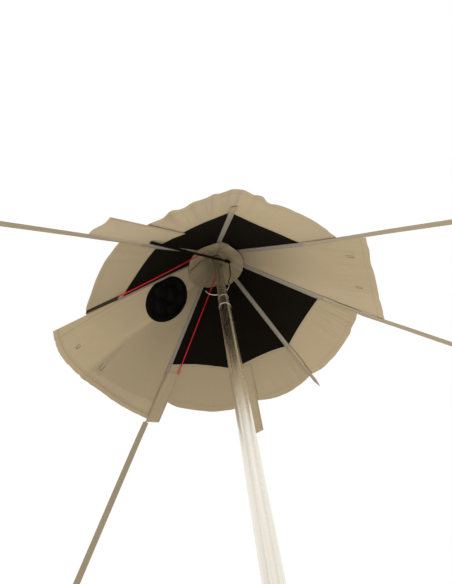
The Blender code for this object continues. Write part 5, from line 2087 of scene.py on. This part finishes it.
    def tail_at(self, s: float, t: float) -> Vector:
        """Returns a point of the outer face of the short pointed tail."""
        crown = self.crown
        azimuth = crown.azimuth("d")
        taper = min(1.0, (self.tail[1] - t) / self.tail_taper + 0.15)
        point = polar(t, azimuth) + polar((s - 0.5) * self.tail_width * taper, azimuth + 90.0)
        lift = crown.ripple(point.x, point.y) - crown.stack(crown.hem_t, 1)
        return crown.over(point.x, point.y, lift)

    def make_tail(self) -> None:
        """Makes the tail on seam d."""
        flat = partial(ribbon, self.tail_width, math.hypot(1.0, self.crown.skirt_fall))
        piece = Sheet(self.crown, "web_tail_d", self.tail_at, 6, steps(*self.tail, 40), self.thickness,
                      flat=flat).build()
        dress(piece.item, self.clothes.strap, "strap_tail_d")

    def ring(self, seam: str, bar: float) -> None:
        """Makes the steel ring of one strap, flat on the ground beyond its bar."""
        half = self.cuts[seam].width / 2 + self.ring_side
        bow = self.ring_length - self.ring_side
        turns = [math.radians(angle) for angle in steps(-90.0, 90.0, 36)]
        points = [(0.0, -half), *((self.ring_side + bow * math.cos(turn), half * math.sin(turn))
                                  for turn in turns), (0.0, half)]
        fall = (self.bar_z - self.wire) / self.ring_length
        path = [self.plan(seam, bar + out, side) + UP * (self.bar_z - fall * out) for out, side in points]
        item = Tube("wire_ring_" + seam, path, self.wire, sides=20, cyclic=True).build()
        dress(item, self.clothes.steel, "peg_ring_" + seam, body="peg_ring_" + seam)


# The pole


@dataclass
class Pole(Assembly):
    """The centre pole: a slim upper tube that slides in a stouter one made in two lengths."""

    upper_d: float = 0.033
    lower_d: float = 0.038
    wall: float = 0.0012
    bush_top: float = 0.335
    bush_foot: float = 0.384
    bush_d: float = 0.0365
    spigot: float = 0.060
    slip: float = 0.0003
    upper_end: float = 1.000
    joint_z: float = 1.060
    foot_d: float = 0.048
    foot_h: float = 0.040
    foot_floor: float = 0.006
    tip_h: float = 0.012
    tip_point_r: float = 0.004
    tip_plug: float = 0.030
    tip_gap: float = 0.0005
    ease: float = 0.0004
    lip: float = 0.0011
    head_lip: float = 0.0007

    def tip(self) -> tuple[float, float]:
        """Returns the height at which the tip's cone meets the tube's outside, and the cone's fall."""
        crown = self.crown
        fall = crown.crown_fall / math.cos(max(crown.sector(name)[1] for name in SECTORS))
        return crown.apex_z - fall * self.upper_d / 2 + crown.stack(0.0, 1) - self.tip_gap, fall

    def tube(self, outer: float, top: float, foot: float) -> list[tuple[float, float]]:
        """Returns the profile of a tube whose ends are eased."""
        inner = outer - self.wall
        ease, half = self.ease, self.ease / 2
        return [(outer - ease, top), (outer, top - ease), (outer, foot + ease), (outer - ease, foot),
                (inner + half, foot), (inner, foot + half), (inner, top - half), (inner + half, top)]

    def rolled(self, radius: float, top: float, lip: float) -> list[tuple[float, float]]:
        """Returns the profile of a lip rolled outwards at the top of a tube, from its top down."""
        return [(radius - 0.0004, top), (radius + 0.5 * lip, top - 0.0002), (radius + lip, top - 0.9 * lip),
                (radius + 0.9 * lip, top - 1.5 * lip), (radius, top - 2.3 * lip)]

    def make(self, name: str, profile: Sequence[tuple[float, float]], finish: Finish, node: str,
             body: str = "pole") -> None:
        """Turns one piece of the pole and dresses it.

        Args:
            name: The piece's name.
            profile: Its radii and heights.
            finish: Its finish.
            node: The solid that it stands for.
            body: The body that it rides on.
        """
        dress(Turned(name, profile).build(), finish, node, body=body)

    def build(self) -> None:
        """Makes the pieces of the pole, and dresses the sleeve, which stays as the solid is."""
        apex, slip, ease = self.crown.apex_z, self.slip, self.ease
        steel, plastic = self.clothes.steel, self.clothes.plastic
        upper, lower, bush, foot = (size / 2 for size in (self.upper_d, self.lower_d, self.bush_d,
                                                          self.foot_d))
        shoulder, fall = self.tip()
        top = shoulder - self.tip_h
        self.make("tube_upper", self.tube(upper, top, apex - self.upper_end), self.clothes.dull_steel,
                  "pole_upper", "canopy")
        point = shoulder + fall * (upper - self.tip_point_r)
        plug, plug_end = upper - self.wall - slip, top - self.tip_plug
        self.make("plastic_tip", [
            (0.0, point), (self.tip_point_r - 0.001, point), (self.tip_point_r, point - 0.0008),
            (upper - 0.0006, shoulder), (upper, shoulder - 0.0008), (upper, top + slip + ease),
            (upper - ease, top + slip), (plug, top + slip), (plug, plug_end + 0.001),
            (plug - 0.001, plug_end), (0.0, plug_end)], plastic, "pole_tip", "canopy")
        head, rim = apex - self.bush_top, apex - self.bush_foot
        bore, spigot, edge = upper + slip, lower - self.wall - slip, bush - 0.0006
        self.make("tube_bush", [
            (bore + ease, head), *self.rolled(edge, head, self.head_lip), (edge, rim + 0.0012),
            (bush - 0.0010, rim + slip), (spigot, rim + slip), (spigot, rim - self.spigot),
            (bore, rim - self.spigot), (bore, head - ease)], steel, "pole_bush")
        middle = self.tube(lower, rim, self.joint_z + slip)
        self.make("tube_middle", self.rolled(lower, rim, self.lip) + middle[2:], steel, "pole_middle")
        self.make("tube_lower", self.tube(lower, self.joint_z, self.foot_floor + slip), steel, "pole_lower")
        self.make("plastic_foot", [
            (0.0, self.foot_floor), (lower + slip, self.foot_floor), (lower + slip, self.foot_h - 0.0008),
            (lower + 0.0011, self.foot_h), (lower + 0.0019, self.foot_h - 0.0006),
            (lower + 0.0021, self.foot_h - 0.003), (foot - 0.0008, 0.0105), (foot, 0.0085),
            (foot, 0.0025), (foot - 0.0007, 0.0008), (foot - 0.0025, 0.0), (0.0, 0.0)],
                  plastic, "pole_foot")
        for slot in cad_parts["pole_sleeve"].material_slots:
            slot.material = steel.material


# Cords


@dataclass
class Cords(Assembly):
    """The red vent cords, and the black strap, knots and cord that carry the lantern clip."""

    red_d: float = 0.004
    black_d: float = 0.004
    red: dict[str, tuple[tuple[float, float, float], ...]] = field(default_factory=lambda: {
        "g": ((-0.0138, -0.0900, -0.1374), (-0.1394, -0.1463, -0.2793), (-0.2627, -0.2050, -0.4175)),
        "f": ((-0.0346, 0.0558, -0.1003), (-0.1484, 0.1180, -0.2540), (-0.2621, 0.1803, -0.4075))})
    black: tuple[tuple[float, float, float], ...] = (
        (0.0430, 0.0110, -0.1480), (0.0385, 0.0102, -0.1980), (0.0290, 0.0082, -0.2320))
    strap_start: tuple[float, float, float] = (-0.0910, -0.3203, -0.4176)
    strap_w: float = 0.009
    strap_t: float = 0.002
    knot_r: float = 0.0070
    knot_place: tuple[float, float, float] = (0.0365, 0.0086, -0.0841)
    knot_step: tuple[float, float, float] = (0.0085, 0.0022, -0.0110)
    slip: float = 0.0003
    eyelet_r: float = 0.0070
    eyelet_wire: float = 0.0012
    clip_r: float = 0.044
    clip_centre: tuple[float, float] = (-0.013, -0.007)
    clip_wire: float = 0.002
    clip_z: float = 0.259
    clip_tilt: float = -17.5
    clip_reach: tuple[float, float] = (20.0, 182.0)
    steps_between: int = 8
    strap_twist: float = 0.0006
    strap_turns: float = 9.0
    strap_narrows: tuple[float, float, float] = (0.35, 0.90, 0.10)
    knot_turns: int = 96
    knot_wide: tuple[float, float] = (0.0040, 0.0019)
    knot_high: float = 0.0032
    knot_cord_r: float = 0.0023
    lower_knot_axis: tuple[float, float, float] = (0.3, 0.2, 1.0)

    def from_apex(self, place: Sequence[float]) -> Vector:
        """Returns a point that is given from the apex."""
        return Vector(place) + UP * self.crown.apex_z

    def clip_point(self, angle: float) -> Vector:
        """Returns a point of the clip's tilted hoop."""
        place = polar(self.clip_r, angle)
        height = self.crown.apex_z - self.clip_z - math.tan(math.radians(self.clip_tilt)) * place.y
        return place + Vector((*self.clip_centre, height))

    def knot(self, name: str, centre: Vector, axis: Vector, node: str) -> bpy.types.Object:
        """Makes an overhand knot of wound cord in the room of a small ball.

        Args:
            name: The piece's name.
            centre: Its middle.
            axis: The direction that it is wound about.
            node: The solid that it stands for.

        Returns:
            The piece.
        """
        turn = axis.to_track_quat("Z", "Y").to_matrix()
        path = []
        for i in range(self.knot_turns):
            angle = 2 * math.pi * i / self.knot_turns
            wide = self.knot_wide[0] + self.knot_wide[1] * math.cos(3 * angle)
            local = Vector((wide * math.cos(2 * angle), wide * math.sin(2 * angle),
                            self.knot_high * math.sin(3 * angle)))
            path.append(centre + turn @ local)
        item = Tube(name, path, self.knot_cord_r, cyclic=True).build()
        dress(item, self.clothes.cord, node)
        return item

    def run(self, name: str, path: list[Vector], diameter: float, finish: Finish, node: str,
            lay: str) -> None:
        """Args:
            name: The piece's name.
            path: Its route.
            diameter: How thick it is.
            finish: Its finish.
            node: The solid that it stands for.
            lay: How it lies; not used.
        """
        item = Tube(name, path, diameter / 2, sides=16).build()
        dress(item, finish, node)

    def build(self) -> None:
        """Makes all cords and what hangs from them."""
        for seam, places in self.red.items():
            path = smooth_path([self.from_apex(place) for place in places], self.steps_between)
            self.run("cord_vent_" + seam, path, self.red_d, self.clothes.red, "vent_cord_" + seam, "taut")
        upper = self.from_apex(self.knot_place)
        lower = upper + Vector(self.knot_step).normalized() * (2 * self.knot_r + self.slip)
        start = self.from_apex(self.strap_start)
        along = (upper - start).normalized()
        lower_axis = Vector(self.lower_knot_axis).normalized()
        knots = [self.knot("knot_upper", upper, along, "hanging_knot_upper"),
                 self.knot("knot_lower", lower, lower_axis, "hanging_knot_lower")]
        clip = Tube("wire_clip", [self.clip_point(angle) for angle in steps(*self.clip_reach, 60)],
                    self.clip_wire, sides=16).build()
        dress(clip, self.clothes.steel, "lantern_clip")
        slant = self.black_d / 2 * math.tan(math.radians(abs(self.clip_tilt)))
        last = self.clip_point(self.clip_reach[0]) + UP * (self.clip_wire + slant + self.slip)
        places = [lower - UP * (self.knot_r + self.slip), *map(self.from_apex, self.black), last]
        self.run("cord_hanger", smooth_path(places, self.steps_between), self.black_d, self.clothes.cord,
                 "hanging_cord", "hanging")
        self.strap(start, upper - along * (self.knot_r + self.slip), along, knots)
        self.eyelet(upper, along)

    def strap_at(self, start: Vector, run: Vector, s: float, t: float) -> Vector:
        """Returns a point of the flat black strap, which narrows into its knot."""
        across = run.cross(UP).normalized()
        less, start_at, over = self.strap_narrows
        narrow = 1.0 - less * ramp(t, start_at, over)
        twist = self.strap_twist * math.sin(self.strap_turns * t) * arch(t)
        return start + run * t + across * ((s - 0.5) * self.strap_w * narrow) + UP * twist

    def strap(self, start: Vector, end: Vector, along: Vector, knots: list[bpy.types.Object]) -> None:
        """Args:
            start: Where it leaves the brim.
            end: Where it enters the upper knot.
            along: Its direction; not used.
            knots: The knots at its end; not used.
        """
        length = (end - start).length
        piece = Sheet(self.crown, "strap_hanger", partial(self.strap_at, start, end - start), 6,
                      steps(0.0, 1.0, 80), self.strap_t, flat=partial(ribbon, self.strap_w, length)).build()
        dress(piece.item, self.clothes.black, "hanging_strap")

    def eyelet(self, upper: Vector, along: Vector) -> None:
        """Makes the small steel eyelet over the upper knot, in line with the strap."""
        middle = upper + UP * (self.knot_r + self.slip + self.eyelet_wire + self.eyelet_r)
        level = Vector((along.x, along.y, 0.0)).normalized()
        path = [middle + (level * math.cos(angle) + UP * math.sin(angle)) * self.eyelet_r
                for angle in steps(0.0, 2 * math.pi, 48)[:-1]]
        item = Tube("wire_eyelet", path, self.eyelet_wire, sides=14, cyclic=True).build()
        dress(item, self.clothes.steel, "collar_eyelet")


# The studio


@dataclass(frozen=True)
class Lamp:
    """A soft square lamp: where it stands and aims, its side in metres, its watts and its beam."""

    name: str
    place: tuple[float, float, float]
    aim: tuple[float, float, float]
    size: float
    power: float
    beam: float = 76.0

    def build(self) -> None:
        """Makes the lamp, which neither the camera nor a mirror sees."""
        data = bpy.data.lights.new(self.name, "AREA")
        data.spread = math.radians(self.beam)
        data.size = self.size
        data.energy = self.power
        item = new_item(self.name, data)
        item.visible_camera = False
        item.visible_glossy = False
        turn = (Vector(self.place) - Vector(self.aim)).to_track_quat("Z", "Y").to_matrix().to_4x4()
        item.matrix_world = Matrix.Translation(self.place) @ turn


@dataclass
class Studio:
    """Plain pale floor, plain soft light, white paper behind, and the photograph's camera."""

    location: tuple[float, float, float] = (0.1783, -0.6773, 1.1681)
    right: tuple[float, float, float] = (0.9167, 0.3850, -0.1066)
    down: tuple[float, float, float] = (-0.3768, 0.7447, -0.5508)
    forward: tuple[float, float, float] = (-0.1327, 0.5451, 0.8278)
    lens: float = 22.2026
    sensor: float = 36.0
    sky: float = 0.95
    near: float = 0.01
    sky_colour: Colour = (1.0, 0.985, 0.96)
    floor_colour: Colour = (0.82, 0.81, 0.79)
    floor_roughness: float = 0.9
    floor_half: float = 14.0
    floor_z: float = -0.0005
    lamps: tuple[Lamp, ...] = (
        Lamp("soft_side", (-2.6, 0.4, 0.7), (0.25, -0.1, 2.15), 1.6, 10.5),
        Lamp("soft_front", (2.7, -0.3, 0.7), (-0.2, 0.0, 2.15), 1.2, 2.6),
        Lamp("soft_back", (0.9, 2.9, 0.9), (-0.1, -0.3, 2.15), 1.6, 1.3),
        Lamp("soft_top", (-1.6, -2.6, 5.2), (0.0, 0.0, 1.6), 3.0, 82.0, 180.0))

    def camera(self) -> None:
        """Makes the camera, below the crown and looking up at 56 degrees."""
        data = bpy.data.cameras.new("photo_camera")
        data.sensor_fit = "VERTICAL"
        data.sensor_height = self.sensor
        data.lens = self.lens
        data.clip_start = self.near
        item = new_item("photo_camera", data)
        axes = Matrix((Vector(self.right), -Vector(self.down), -Vector(self.forward))).transposed()
        item.matrix_world = Matrix.Translation(self.location) @ axes.to_4x4()
        bpy.context.scene.camera = item

    def world(self) -> None:
        """Makes an even soft light that looks like white paper to the camera and to steel."""
        world = bpy.data.worlds.new("studio")
        world.use_nodes = True
        graph = Graph(world.node_tree)
        rays = graph.add("ShaderNodeLightPath").outputs
        seen = graph.math("MAXIMUM", rays["Is Camera Ray"], rays["Is Glossy Ray"])
        seen = graph.math("MAXIMUM", seen, rays["Is Transmission Ray"])
        light = graph.add("ShaderNodeBackground", {"Color": tinted(self.sky_colour), "Strength": self.sky})
        paper = graph.add("ShaderNodeBackground", {"Color": (1.0, 1.0, 1.0, 1.0), "Strength": 1.0})
        both = graph.add("ShaderNodeMixShader", {0: seen, 1: light.outputs[0], 2: paper.outputs[0]})
        graph.add("ShaderNodeOutputWorld", {"Surface": both.outputs[0]})
        bpy.context.scene.world = world

    def floor(self) -> None:
        """Makes the floor, just below the ground."""
        bm = bmesh.new()
        bmesh.ops.create_grid(bm, x_segments=1, y_segments=1, size=self.floor_half)
        bm.transform(Matrix.Translation(UP * self.floor_z))
        item = settle(bm, "floor")
        material = bpy.data.materials.new("pale_floor")
        material.use_nodes = True
        graph = Graph(material.node_tree)
        shader = graph.add("ShaderNodeBsdfPrincipled", {"Base Color": tinted(self.floor_colour),
                                                        "Roughness": self.floor_roughness})
        graph.add("ShaderNodeOutputMaterial", {"Surface": shader.outputs[0]})
        item.data.materials.append(material)

    def build(self) -> None:
        """Makes the whole studio."""
        self.camera()
        self.world()
        self.floor()
        for lamp in self.lamps:
            lamp.build()
        bpy.context.scene.view_settings.view_transform = "Standard"


def main() -> None:
    """Builds the studio, then the tent's sub-assemblies in order."""
    logging.basicConfig(level=logging.INFO, format="%(message)s")
    crown = Crown()
    clothes = Wardrobe()
    Studio().build()
    kit = crown, clothes, Sewing(crown)
    port, collar = StovePort(*kit), Collar(*kit)
    for assembly in (Cords(*kit), Vents(*kit), Brims(*kit), PlainPanel(*kit), StovePanel(*kit, port), port,
                     SeamTapes(*kit), SeamFells(*kit), collar, CrownCap(*kit, collar), SideTabs(*kit),
                     GuyStraps(*kit), Pole(*kit)):
        assembly.build()


if __name__ == "__main__":
    main()
